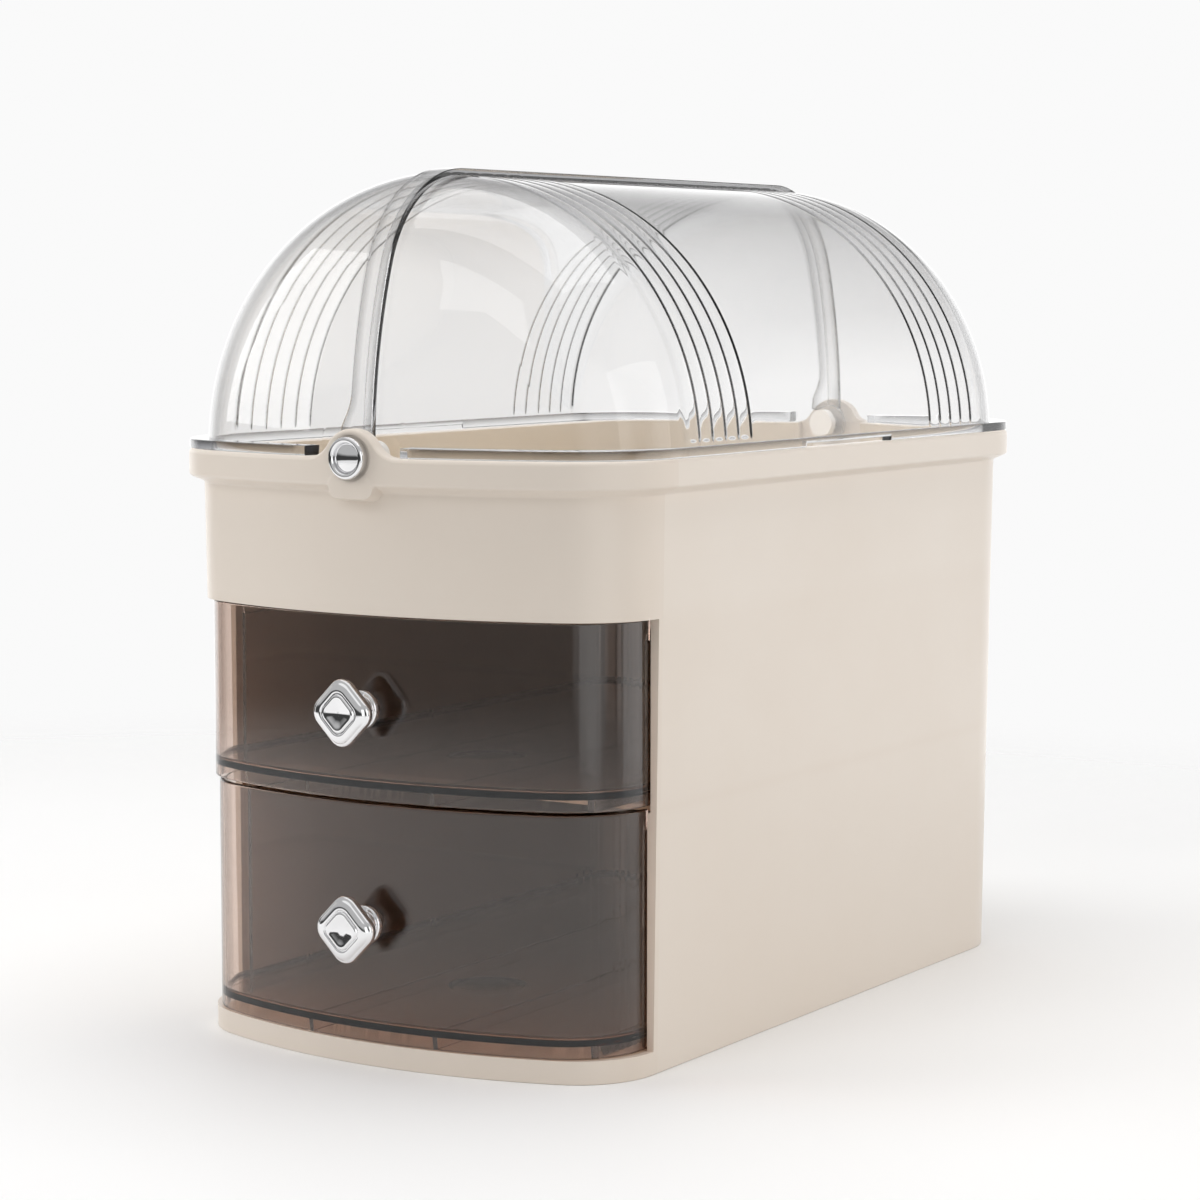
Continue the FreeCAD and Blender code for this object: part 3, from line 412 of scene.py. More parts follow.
@dataclass(frozen=True)
class WhiteSheet(Finish):
    """A white sheet that fades away between two distances from a place."""

    middle: tuple[float, float, float]
    fade: tuple[float, float] = (0.50, 0.90)
    white: Colour = (0.885, 0.885, 0.885, 1.0)

    def material(self) -> bpy.types.Material:
        """Build the finish.

        Returns:
            A node material.
        """
        material, tree, out = self.start()
        where = tree.add("TexCoord").outputs["Object"]
        far = tree.add("VectorMath", {0: where, 1: self.middle}, operation="DISTANCE").outputs["Value"]
        shader = tree.add("BsdfPrincipled", {"Base Color": self.white, "Roughness": 0.6,
                                             "Specular IOR Level": 0.2})
        share = tree.add("MapRange", {"Value": far, "From Min": self.fade[0], "From Max": self.fade[1]},
                         interpolation_type="SMOOTHSTEP")
        mix = tree.add("MixShader", {0: share.outputs["Result"], 1: shader.outputs["BSDF"],
                                     2: tree.add("BsdfTransparent").outputs["BSDF"]})
        tree.link(mix.outputs["Shader"], out.inputs["Surface"])
        return material


@dataclass(frozen=True)
class WorkedFinish(Finish):
    """A finish that shows the skin and the marks of use, as effect groups that all such finishes share."""

    skin: bpy.types.NodeTree
    marks: bpy.types.NodeTree
    gloss: tuple[float, float] = (0.29, 0.38)
    relief: float = 0.004 * MM

    def skinned(self, tree: Tree, grain: float) -> bpy.types.Node:
        """Place the skin in a material with the finish's own gloss and a number of grains to the metre."""
        low, high = self.gloss
        return self.effect(tree, self.skin, {"Grain Size": grain, "Gloss Low": low, "Gloss High": high})

    def marked(self, tree: Tree, specks: float, scratches: float) -> bpy.types.Node:
        """Place the marks in a material with the sizes of its specks and scratches."""
        return self.effect(tree, self.marks, {"Speck Size": specks, "Scratch Size": scratches})

    def bumped(self, tree: Tree, height: bpy.types.NodeSocket, strength: float) -> bpy.types.NodeSocket:
        """The normal over a relief as deep as the finish says."""
        bump = tree.add("Bump", {"Height": height, "Strength": strength, "Distance": self.relief})
        return bump.outputs["Normal"]

    @staticmethod
    def effect(tree: Tree, group: bpy.types.NodeTree, values: dict[str, float]) -> bpy.types.Node:
        """Place an effect group in a material.

        Args:
            tree: The material's tree.
            group: The effect.
            values: The group's inputs and their values in this material.

        Returns:
            The group's node.
        """
        node = tree.add("Group", node_tree=group)
        for label, value in values.items():
            node.inputs[label].default_value = value
        return node


@dataclass(frozen=True)
class CreamPlastic(WorkedFinish):
    """Warm cream plastic with a satin skin and clouds of deeper colour, with painted shade below the tray's
    floor and along the shelf, standing in for light through the wall that the parts inside block, and painted
    shade that deepens towards a crease.

    Its gloss stays rough enough everywhere for the denoiser to treat the whole surface alike.
    """

    relief: float = 0.010 * MM
    # pale is the plastic's colour; deep is the deeper colour of its clouds and of the painted shade.
    pale: Colour = (0.735, 0.664, 0.588, 1.0)
    deep: Colour = (0.700, 0.618, 0.535, 1.0)
    # Where the painted shade lies: below the tray's floor, along the shelf and in a ramp towards the crease.
    tray_shade_levels: tuple[float, float] = (146.0 * MM, 153.0 * MM)
    shelf_shade_level: float = 86.9 * MM
    shelf_shade_half: float = 3.0 * MM
    crease_place: float = -116.6 * MM
    crease_shade_run: float = 22.0 * MM
    crease_width: float = 0.3 * MM

    def material(self) -> bpy.types.Material:
        """Build the finish.

        Returns:
            A node material.
        """
        material, tree, out = self.start()
        skin = self.skinned(tree, 650.0)
        spot = tree.add("SeparateXYZ", {0: tree.add("TexCoord").outputs["Object"]})
        height, depth = spot.outputs["Z"], spot.outputs["Y"]
        # Painted shade from here on: deeper colour below the tray's floor, a band along the shelf and a ramp
        # that deepens towards the crease; the clouds are the plastic's own colour variation.
        tray_shade = tree.spread(height, *self.tray_shade_levels, 0.34, 0.0)
        clouds = tree.spread(skin.outputs["Cloud"], 0.25, 0.75, 0.0, 0.5)
        from_shelf = tree.math("ABSOLUTE", tree.math("SUBTRACT", height, self.shelf_shade_level))
        shelf_shade = tree.spread(from_shelf, self.shelf_shade_half, 0.0, 0.0, 0.3)
        rise = tree.spread(depth, self.crease_place - self.crease_shade_run, self.crease_place, 0.0, 0.9)
        drop = tree.spread(depth, self.crease_place, self.crease_place + self.crease_width, 1.0, 0.0)
        clouds_and_shade = tree.math("ADD", tree.math("ADD", tray_shade, clouds), shelf_shade)
        share = tree.math("ADD", clouds_and_shade, tree.math("MULTIPLY", rise, drop))
        shader = tree.add("BsdfPrincipled", {"Base Color": tree.tint(share, self.pale, self.deep),
                                             "Roughness": skin.outputs["Roughness"],
                                             "Normal": self.bumped(tree, skin.outputs["Height"], 0.05),
                                             "IOR": 1.5})
        tree.link(shader.outputs["BSDF"], out.inputs["Surface"])
        return material


@dataclass(frozen=True)
class ClearPlastic(WorkedFinish):
    """Polished see-through plastic with a tint through its thickness, and painted shade in its colour: darker
    lines along its edges and grooves, and darker where it turns edge-on.
    """

    gloss: tuple[float, float] = (0.005, 0.03)
    tint: Colour = (0.80, 0.803, 0.812, 1.0)
    density: float = 190.0
    shade: Colour = (0.985, 0.985, 0.985, 1.0)
    face: Colour = (1.0, 1.0, 1.0, 1.0)
    # rim is the colour of the painted shade at edges, in grooves and where the surface turns edge-on.
    rim: Colour = (0.11, 0.105, 0.105, 1.0)
    index: float = 1.49
    edge_on_shade: tuple[float, float] = (0.55, 0.95)

    def material(self) -> bpy.types.Material:
        """Build the finish.

        Returns:
            A node material.
        """
        material, tree, out = self.start()
        skin, marks = self.skinned(tree, 900.0), self.marked(tree, 380.0, 70.0)
        dust = tree.spread(marks.outputs["Specks"], 0.0, 1.0, 0.0, 0.25)
        # Painted shade: the colour darkens towards rim where the surface turns edge-on and along the painted
        # shade lines stored on the piece.
        facing = tree.add("LayerWeight", {"Blend": 0.5}).outputs["Facing"]
        line = tree.add("Attribute", attribute_name="shade_line", attribute_type="GEOMETRY").outputs["Fac"]
        edge = tree.math("MAXIMUM", tree.spread(facing, *self.edge_on_shade, 0.0, 1.0), line)
        shader = tree.add("BsdfPrincipled", {"Base Color": tree.tint(edge, self.face, self.rim),
                                             "Roughness": tree.math("ADD", dust, skin.outputs["Roughness"]),
                                             "Normal": self.bumped(tree, marks.outputs["Scratches"], 0.10),
                                             "IOR": self.index, "Transmission Weight": 1.0})
        through = tree.add("BsdfTransparent", {"Color": self.shade})
        mix = tree.add("MixShader", {0: tree.add("LightPath").outputs["Is Shadow Ray"],
                                     1: shader.outputs["BSDF"], 2: through.outputs["BSDF"]})
        body = tree.add("VolumeAbsorption", {"Color": self.tint, "Density": self.density})
        tree.link(mix.outputs["Shader"], out.inputs["Surface"])
        tree.link(body.outputs["Volume"], out.inputs["Volume"])
        return material


@dataclass(frozen=True)
class BrightMetal(WorkedFinish):
    """Plated or plain metal with fine polishing lines and wiped patches."""

    gloss: tuple[float, float] = (0.03, 0.07)
    pale: Colour = (0.86, 0.86, 0.87, 1.0)
    deep: Colour = (0.72, 0.72, 0.74, 1.0)

    def material(self) -> bpy.types.Material:
        """Build the finish.

        Returns:
            A node material.
        """
        material, tree, out = self.start()
        skin, marks = self.skinned(tree, 1500.0), self.marked(tree, 900.0, 220.0)
        wiped = tree.spread(marks.outputs["Wiped"], 0.0, 1.0, 0.0, 0.05)
        colour = tree.tint(marks.outputs["Specks"], self.pale, self.deep)
        shader = tree.add("BsdfPrincipled", {"Base Color": colour, "Metallic": 1.0,
                                             "Roughness": tree.math("ADD", wiped, skin.outputs["Roughness"]),
                                             "Normal": self.bumped(tree, marks.outputs["Scratches"], 0.08)})
        tree.link(shader.outputs["BSDF"], out.inputs["Surface"])
        return material


def dress(piece: bpy.types.Object, *materials: bpy.types.Material) -> None:
    """Give a piece its materials, in the order of its faces' numbers."""
    for material in materials:
        piece.data.materials.append(material)


def settle(piece: bpy.types.Object, body: str, slot: str, *nodes: str) -> None:
    """Let a new piece ride on a body and stand for CAD nodes.

    Args:
        piece: The new piece.
        body: The body that it moves with.
        slot: Name of the piece's material slot; not used.
        nodes: The nodes that it replaces.
    """
    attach(piece, body)
    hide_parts(*nodes)
    LOG.info("%s stands for %s on %s", piece.name, ", ".join(nodes), body)


@dataclass
class CabinetShell:
    """The cream cabinet: a bowed tube with draft, a flared rim, two pivot humps and one front opening."""

    bow: float = 198.4 * MM
    corner: float = 28.8 * MM
    rim_growth: float = 7.6 * MM
    draft: float = 2.5 * MM
    rim_low: float = 188.5 * MM
    rim_face: float = 191.6 * MM
    rim_top: float = 200.0 * MM
    rim_round: float = 1.2 * MM
    opening_low: float = 7.8 * MM
    opening_high: float = 149.0 * MM
    shelf: float = 85.9 * MM
    tray: float = 150.0 * MM
    base: float = 5.3 * MM
    wall: float = 2.4 * MM
    ledge: float = 1.2 * MM
    crown: float = 10.5 * MM
    foot_fillet: float = 10.0 * MM
    foot_end: float = 17.23 * MM
    plate: float = 4.7 * MM
    slot_half: float = 14.0 * MM
    slot_low: float = 191.0 * MM
    spot: float = 7.3 * MM
    spot_deep: float = 0.3 * MM
    tab_half: float = 8.8 * MM
    tab_low: float = 186.3 * MM
    tab_high: float = 194.6 * MM
    tab_corner: float = 3.9 * MM
    tab_offset: float = 7.75 * MM
    soft: float = 0.45 * MM
    edge: float = 0.5 * MM
    band_levels: tuple[float, float] = (165.0 * MM, 182.0 * MM)
    flare_levels: tuple[float, float] = (184.0 * MM, 192.6 * MM)
    flare_step: float = 0.36 * MM
    face_start: float = 192.7 * MM
    face_rows: int = 44
    fine_half: float = 20.0 * MM
    fine_step: float = 0.33 * MM
    beside: float = 0.25 * MM
    outline: BowedOutline = field(init=False)
    hump_top: float = field(init=False)

    def __post_init__(self) -> None:
        """Take the outline and the hump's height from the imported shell."""
        _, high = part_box("cabinet_shell")
        self.hump_top = high[2]
        self.outline = BowedOutline(high[0] - self.rim_growth, high[1] - self.rim_growth, self.bow,
                                    self.corner)

    def columns(self) -> Loop:
        """The loop of plan points.

        Returns:
            Points close together at the humps and at the corners' ends.
        """
        fine = np.arcsin(np.arange(0.0, self.fine_half, self.fine_step) / self.bow)
        edges = np.arcsin((self.slot_half + np.array([-0.04, 0.04]) * MM) / self.bow)
        last = self.beside / self.corner
        wide = np.concatenate([np.linspace(fine[-1], self.outline.turn, 12)[1:],
                               np.linspace(self.outline.turn, math.pi / 2 - last, 26)[1:], [math.pi / 2]])
        quarter = np.unique(np.concatenate([fine, edges, wide]))
        angles = np.concatenate([-quarter[:0:-1], quarter])
        near = self.beside / (2.0 * self.outline.along)
        sides = np.concatenate([[near], np.linspace(0.05, 0.95, 13), [1.0 - near]])
        return loop_round(self.outline, angles, sides)

    def crest(self, across: Array, ends: Array) -> Array:
        """Height of the rim's top: level, with a hump at the middle of each end.

        A hump is a circle about a point just under the rim's top, with a hollow fillet at each foot.

        Args:
            across: The columns' x.
            ends: Mask of the columns at the front and the rear.

        Returns:
            The heights.
        """
        size = np.abs(across)
        centre = self.hump_top - self.crown
        round_top = centre + np.sqrt(np.clip(self.crown ** 2 - size ** 2, 0.0, None))
        hollow = self.rim_top + self.foot_fillet - np.sqrt(
            np.clip(self.foot_fillet ** 2 - (self.foot_end - size) ** 2, 0.0, None))
        meet = self.crown * self.foot_end / (self.crown + self.foot_fillet)
        hump = np.where(size < meet, round_top, hollow)
        return np.where(ends & (size < self.foot_end), hump, self.rim_top)

    def skin(self, across: Array, height: Array, ends: Array) -> Array:
        """Offset of the outer face: even draft, an S-shaped flare to the rim, the tab and the cap's recess.

        Args:
            across: The columns' x.
            height: The columns' height.
            ends: Mask of the columns at the front and the rear.

        Returns:
            The offsets from the outline.
        """
        drafted = self.draft * height / self.rim_low
        out = blend(drafted, self.rim_growth, ease(height, self.rim_low, self.rim_face))
        middle, tall = (self.tab_low + self.tab_high) / 2, (self.tab_high - self.tab_low) / 2
        aside = np.clip(np.abs(across) - self.tab_half + self.tab_corner, 0.0, None)
        above = np.clip(np.abs(height - middle) - tall + self.tab_corner, 0.0, None)
        tab = ease(np.hypot(aside, above) - self.tab_corner, self.soft, -self.soft) * ends
        out = blend(out, np.maximum(out, self.tab_offset), tab)
        from_pivot = np.hypot(across, height - self.rim_top)
        spot = ease(from_pivot, self.spot + 0.2 * MM, self.spot - 0.2 * MM) * ends
        return out - self.spot_deep * spot

    def build(self) -> bpy.types.Object:
        """One closed wall: a section of offset and height, carried round the loop, with the opening left out.

        Returns:
            The shell.
        """
        loop = self.columns()
        across, count = loop.place[:, 0], len(loop.place)
        ends = np.abs(loop.normal[:, 1]) > 0.3
        top = self.crest(across, ends)
        slot = ends & (np.abs(across) < self.slot_half)
        floor = np.where(slot, self.slot_low, self.rim_top)
        edge = self.edge
        curl = np.radians([0.0, 30.0, 60.0, 90.0])
        rows: list[tuple[Level, Level]] = [(-0.4 * MM, 0.0), (-0.12 * MM, 0.12 * MM), (0.0, 0.4 * MM)]
        rows += [(self.draft * z / self.rim_low, z) for z in (self.opening_low, self.shelf, self.shelf,
                                                              self.opening_high, *self.band_levels)]
        low_row, high_row = 3, 6
        stop = top - self.rim_round
        levels = [np.full(count, z) for z in np.arange(*self.flare_levels, self.flare_step)]
        levels += [blend(self.face_start, stop, share) for share in np.linspace(0.0, 1.0, self.face_rows)]
        rows += [(self.skin(across, level, ends), level) for level in levels]
        for angle in curl[1:]:
            rows.append((self.rim_growth - self.rim_round * (1.0 - math.cos(angle)),
                         stop + self.rim_round * math.sin(angle)))
        back = self.rim_growth - self.plate
        lift = np.clip((top - floor) / (2.0 * edge), 0.0, 1.0) * edge
        for angle in curl:
            rows.append((back + lift * (1.0 - math.sin(angle)), top - lift * (1.0 - math.cos(angle))))
        rows.append((back, floor))
        for angle in curl:
            rows.append((edge * (1.0 - math.sin(angle)), floor - edge * (1.0 - math.cos(angle))))
        inner = -self.wall + self.ledge
        rows += [(0.0, self.tray), (inner, self.tray), (inner, self.opening_high), (inner, self.shelf),
                 (-self.wall, self.shelf), (-self.wall, self.opening_low), (-self.wall, self.base),
                 (inner, self.base), (inner, 0.0)]
        inner_high, inner_low = len(rows) - 7, len(rows) - 4
        points = np.stack([loop.lifted(offset, height) for offset, height in rows])
        keep = np.ones((len(rows), count), dtype=bool)
        keep[low_row:high_row, :loop.front - 1] = False
        keep[inner_high:inner_low, :loop.front - 1] = False
        surface = Surface()
        inside = (np.arange(len(rows)) >= len(rows) - 10).astype(int)
        surface.grid(points, round_rows=True, round_columns=True, keep=keep, slots=inside)
        outer_rows = np.arange(low_row, high_row + 1)
        inner_rows = np.arange(inner_low, inner_high - 1, -1)
        for column in (0, loop.front - 1):
            surface.grid(np.stack([points[outer_rows, column], points[inner_rows, column]]))
        for outer_row, inner_row in ((low_row, inner_low), (high_row, inner_high)):
            surface.grid(np.stack([points[outer_row, :loop.front], points[inner_row, :loop.front]]))
        return surface.build("cream_cabinet")

    def make(self, outer: bpy.types.Material, inner: bpy.types.Material) -> None:
        """Build the shell, dress it and let it stand for its node.

        Args:
            outer: Finish of the faces that show from outside.
            inner: Finish of the faces round the tray and the bays, a darker copy of the cream that paints shade
                on them.
        """
        shell = self.build()
        dress(shell, outer, inner)
        settle(shell, "cabinet", "cream", "cabinet_shell")


@dataclass
class Drawer:
    """A smoked drawer: a tray with a bowed front, ribs under its floor and a shallow disc in it."""

    name: str
    bow: float = 198.4 * MM
    corner: float = 28.8 * MM
    rear_corner: float = 14.0 * MM
    wall: float = 2.0 * MM
    floor: float = 2.0 * MM
    skirt: float = 4.0 * MM
    side_drop: float = 7.0 * MM
    front_depth: float = 3.0 * MM
    jog: float = 1.6 * MM
    # Darkness of the painted shade line along the floor's inner fillet, and less along the skirt's inner face.
    floor_shade: float = 0.9
    edge: float = 0.6 * MM
    fillet: float = 1.2 * MM
    rib_half: float = 0.8 * MM
    rib_middle: float = 50.0 * MM
    rib_spread: float = 25.0 * MM
    disc: float = 13.0 * MM
    disc_deep: float = 0.9 * MM
    # Darkness of the painted shade in the disc's recess.
    disc_shade: float = 0.9
    disc_place: float = -88.0 * MM
    seat: float = 0.3 * MM
    lug_half: float = 12.0 * MM
    lug_high: float = 4.4 * MM
    outline: BowedOutline = field(init=False)
    low: float = field(init=False)
    top: float = field(init=False)
    rear: float = field(init=False)

    def __post_init__(self) -> None:
        """Take the drawer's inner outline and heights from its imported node."""
        low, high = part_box(self.name)
        reach = -low[1] - self.seat
        outer = BowedOutline(high[0], reach, self.bow, self.corner)
        self.outline = outer.grown(-self.wall)
        self.low, self.top, self.rear = low[2], high[2], high[1] - self.wall

    def across(self) -> Array:
        """The columns' x on the inner outline.

        Returns:
            Rising values, close together in the corners, at the ribs' edges and over the disc.
        """
        half, corner, rear = self.outline.half, self.outline.corner, self.rear_corner - self.wall
        swing = np.sin(np.linspace(0.0, math.pi / 2, 22))
        tight = half - rear + rear * np.sin(np.linspace(0.0, math.pi / 2, 12))
        ribs = (self.rib_middle + self.rib_spread * np.array([-1.0, 1.0])[:, None]
                + self.rib_half * np.array([-1.06, -1.0, 1.0, 1.06])[None, :]).ravel()
        middle = np.arange(0.0, 15.5, 0.9) * MM
        lug = self.lug_half + np.array([-0.05, 0.05]) * MM
        between = np.array([19.0, 36.0, 47.0]) * MM
        right = np.unique(np.round(np.concatenate([half - corner + corner * swing, tight, ribs, middle, lug,
                                                   between]), 8))
        return np.concatenate([-right[:0:-1], right])

    def plan(self) -> tuple[Loop, Array]:
        """The loop round the inner outline, with as many points on its two sides.

        At the front it lies on the bow and the corners' circles, and at the rear on smaller corners.

        Returns:
            The loop, and the shares of the way from the front to the rear at which its side points lie.
        """
        x = self.across()
        size, sign = np.abs(x), np.sign(x)
        shape = self.outline
        joint = shape.bow * math.sin(shape.turn)
        beside = np.clip(size - shape.half + shape.corner, 0.0, shape.corner)
        front = np.where(size <= joint, shape.reach - shape.bow + np.sqrt(shape.bow ** 2 - size ** 2),
                         shape.along + np.sqrt(np.clip(shape.corner ** 2 - beside ** 2, 0.0, None)))
        angle = np.where(size <= joint, np.arcsin(size / shape.bow), np.arcsin(beside / shape.corner))
        round_rear = self.rear_corner - self.wall
        past = np.clip(size - shape.half + round_rear, 0.0, round_rear)
        rear = self.rear - round_rear + np.sqrt(np.clip(round_rear ** 2 - past ** 2, 0.0, None))
        lean = np.arcsin(past / round_rear)
        run = rear[0] + front[0]
        step = self.front_depth / run + np.array([-0.002, 0.002])
        shares = np.unique(np.concatenate([[0.0, 0.002, 0.998, 1.0], step, np.linspace(0.05, 0.19, 6),
                                           np.linspace(0.19, 0.31, 34), np.linspace(0.31, 0.97, 12)]))
        flank = (-front[-1] + (rear + front)[-1] * shares)[1:-1]
        place = np.concatenate([np.column_stack([x, -front]),
                                np.column_stack([np.full_like(flank, shape.half), flank]),
                                np.column_stack([x, rear])[::-1],
                                np.column_stack([np.full_like(flank, -shape.half), flank[::-1]])])
        out = np.column_stack([sign * np.sin(angle), -np.cos(angle)])
        back = np.column_stack([sign * np.sin(lean), np.cos(lean)])[::-1]
        side = np.tile([1.0, 0.0], (len(flank), 1))
        return Loop(place, np.concatenate([out, side, back, -side]), len(x)), shares

    def build(self) -> bpy.types.Object:
        """The walls as a section carried round the loop, closed by the floor's upper and lower grids.

        Returns:
            The drawer.
        """
        loop, shares = self.plan()
        place = loop.place
        tall = place[:, 1] < -(self.outline.along - self.front_depth)
        rear = place[:, 1] > self.rear - 0.1 * MM
        lug = rear & (np.abs(place[:, 0]) < self.lug_half)
        top = np.where(tall, self.top, self.top - self.side_drop) + np.where(lug, self.lug_high, 0.0)
        floor_low = self.low + self.skirt
        floor_top = floor_low + self.floor
        w, e = self.wall, self.edge
        curl = np.radians([0.0, 22.5, 45.0, 67.5, 90.0])
        rows: list[tuple[Level, Level]] = []
        rows += [(self.fillet * (math.sin(a) - 1.0), floor_top + self.fillet * (1.0 - math.cos(a)))
                 for a in curl]
        rows.append((0.0, floor_top + 1.3 * self.fillet))
        rows += [(e * (1.0 - math.cos(a)), top - e * (1.0 - math.sin(a))) for a in curl]
        rows += [(w - e * (1.0 - math.sin(a)), top - e * (1.0 - math.cos(a))) for a in curl]
        rows += [(w - e * (1.0 - math.cos(a)), self.low + e * (1.0 - math.sin(a))) for a in curl]
        rows += [(0.3 * MM, self.low), (0.0, self.low + 0.3 * MM), (0.0, floor_low)]
        narrow = -self.jog * ~tall * np.abs(loop.normal[:, 0])
        points = np.stack([loop.lifted(offset + narrow, height) for offset, height in rows])
        # Painted shade lines: dark along the floor's inner fillet and lighter along the skirt's inner face.
        shade_line = np.zeros(points.shape[:2])
        shade_line[:len(curl)] = self.floor_shade
        shade_line[-2:] = 0.35 * self.floor_shade
        surface = Surface()
        surface.grid(points, round_columns=True, shade_line=shade_line)
        shape = len(shares), loop.front
        inset = self.ring_grid(points[0], shape)
        away = np.hypot(inset[..., 0], inset[..., 1] - self.disc_place)
        dish = ease(away, self.disc, self.disc - 0.7 * MM) * (1.0 - 0.4 * (away / self.disc) ** 2)
        inset[..., 2] = floor_top - self.disc_deep * np.clip(dish, 0.0, None)
        # Painted shade fills the disc's recess.
        surface.grid(inset, shade_line=self.disc_shade * np.clip(dish, 0.0, 1.0))
        under = self.ring_grid(points[-1], shape)
        from_rib = np.abs(np.abs(np.abs(under[..., 0]) - self.rib_middle) - self.rib_spread)
        rib = from_rib <= self.rib_half * 1.001
        inside = ((shares > 0.001) & (shares < 0.999))[:, None]
        under[..., 2] -= np.where(rib & inside, self.skirt, 0.0)
        surface.grid(under)
        return surface.build(self.name + "_tray")

    @staticmethod
    def ring_grid(ring: Array, shape: tuple[int, int]) -> Array:
        """A grid that fills a loop, with straight columns between its front and its rear.

        Args:
            ring: The loop's points, front first.
            shape: Rows and columns of the grid.

        Returns:
            The grid's points, whose border is the loop.
        """
        rows, columns = shape
        front, rear = ring[:columns], ring[columns + rows - 2:2 * columns + rows - 2][::-1]
        right = np.concatenate([front[-1:], ring[columns:columns + rows - 2], rear[-1:]])
        left = np.concatenate([front[:1], ring[2 * columns + rows - 2:][::-1], rear[:1]])
        share = (right[:, 1] - right[0, 1]) / (right[-1, 1] - right[0, 1])
        grid = front[None] + (rear - front)[None] * share[:, None, None]
        grid[:, -1], grid[:, 0] = right, left
        return grid

    def make(self, finish: bpy.types.Material) -> None:
        """Build the drawer, dress it and let it ride on its own body.

        Args:
            finish: The drawer's finish.
        """
        tray = self.build()
        dress(tray, finish)
        settle(tray, self.name, "smoked", self.name)


@dataclass
class HalfLid:
    """One clear half of the dome, turned about the pivots' axis, with its flange, flutes and ears."""

    side: Side
    node: str
    bow: float = 198.4 * MM
    corner: float = 43.5 * MM
    wall: float = 1.1 * MM
    nest: float = 1.4 * MM
    strip_half: float = 4.4 * MM
    strip_proud: float = 1.0 * MM
    flare: float = 12.0 * MM
    flare_top: float = 21.0 * MM
    pivot: float = 200.0 * MM
    start: float = 7.0 * MM
    flange_low: float = 0.2 * MM
    flange_high: float = 3.5 * MM
    flange_start: float = 19.0 * MM
    finger_half: float = 28.0 * MM
    finger_high: float = 1.4 * MM
    flute_first: float = 66.0 * MM
    flute_pitch: float = 8.4 * MM
    flutes: int = 5
    flute_rise: float = 0.12 * MM
    flute_sink: float = 0.55 * MM
    groove_half: float = 0.5 * MM
    ear: float = 7.0 * MM
    ear_bore: float = 3.3 * MM
    ear_thick: float = 1.0 * MM
    ear_soft: float = 0.2 * MM
    ear_steps: int = 48
    strip_soft: float = 0.25 * MM
    flange_soft: float = 0.5 * MM
    from_plate: float = 2.2 * MM
    from_rim: float = 0.3 * MM
    # Darkness of the painted shade lines along the strip's edges, at the dome's foot, in the flutes' grooves
    # and on the flange's edge.
    strip_shade: float = 0.75
    foot_shade: float = 0.7
    flute_shade: float = 0.85
    flange_shade: float = 0.95
    rim: BowedOutline = field(init=False)
    dome: BowedOutline = field(init=False)

    def __post_init__(self) -> None:
        """Take the dome from the outer half's packed box and the flange's edge from the cabinet's."""
        _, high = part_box("left_lid")
        shell = CabinetShell()
        radius = high[2] - self.pivot - self.strip_proud
        reach = shell.outline.reach + shell.rim_growth - shell.plate - self.from_plate
        inset = 0.0 if self.side is Side.LEFT else self.nest
        self.dome = BowedOutline(radius - inset, reach - inset, self.bow, self.corner)
        self.rim = shell.outline.grown(shell.rim_growth - self.from_rim)

    def columns(self) -> tuple[Array, Array, Array, Array, Array]:
        """The dome's profile from the front pivot over the top to the rear pivot.

        Returns:
            Distance from the axis, y, the normal's share away from the axis and along y, and the angle of
            the normal, which is a right angle on the straight part.
        """
        first = math.asin(self.start / self.dome.bow)
        gap = math.asin(self.flange_start / self.rim.bow)
        bow = np.unique(np.concatenate([np.linspace(first, self.dome.turn, 22),
                                        [gap - 0.0002, gap + 0.0002]]))
        angles = np.concatenate([bow, np.linspace(self.dome.turn, math.pi / 2, 40)[1:-1]])
        fine = np.array([-1.1, -0.8, -0.6, -0.4, -0.2, 0.0, 0.2, 0.4, 0.6, 0.8, 1.1]) * MM
        part = np.concatenate([fine, self.flute_pitch * np.array([0.25, 0.37, 0.5, 0.63, 0.75])])
        grooves = self.flute_first + self.flute_pitch * np.arange(self.flutes + 1)
        scallops = (grooves[:, None] + part[None, :]).ravel()
        scallops = scallops[scallops < self.dome.along - 0.05 * MM]
        finger = self.finger_half + np.array([-0.04, 0.04]) * MM
        half = np.unique(np.round(np.concatenate([scallops, finger, np.linspace(0.0, 62.0 * MM, 12)]), 8))
        run = np.concatenate([[-self.dome.along], -half[:0:-1], half, [self.dome.along]])
        away, ahead = self.dome.at(angles)
        rho = np.concatenate([away, np.full_like(run, self.dome.half), away[::-1]])
        y = np.concatenate([-ahead, run, ahead[::-1]])
        turn = np.concatenate([angles, np.full_like(run, math.pi / 2), angles[::-1]])
        along = np.concatenate([-np.cos(angles), np.zeros_like(run), np.cos(angles[::-1])])
        return rho, y, np.sin(turn), along, turn

    def scallop(self, y: Array) -> tuple[Array, Array]:
        """The flutes along the dome: low crowns with a fine round groove between each two.

        Args:
            y: The columns' y.

        Returns:
            The rise, crown times a parabola less the groove's bell curve, and the bell curve alone.
        """
        place = (np.abs(y) - self.flute_first) / self.flute_pitch
        inside = (place > -0.15) & (place < self.flutes + 0.15)
        near = np.abs(place - np.clip(np.round(place), 0, self.flutes)) * self.flute_pitch
        bell = np.where(inside, np.exp(-(near / self.groove_half) ** 2), 0.0)
        share = np.clip(2.0 * (place % 1.0) - 1.0, -1.0, 1.0)
        crown = np.where((place > 0.0) & (place < self.flutes), self.flute_rise * (1.0 - share ** 2), 0.0)
        return crown - self.flute_sink * bell, bell

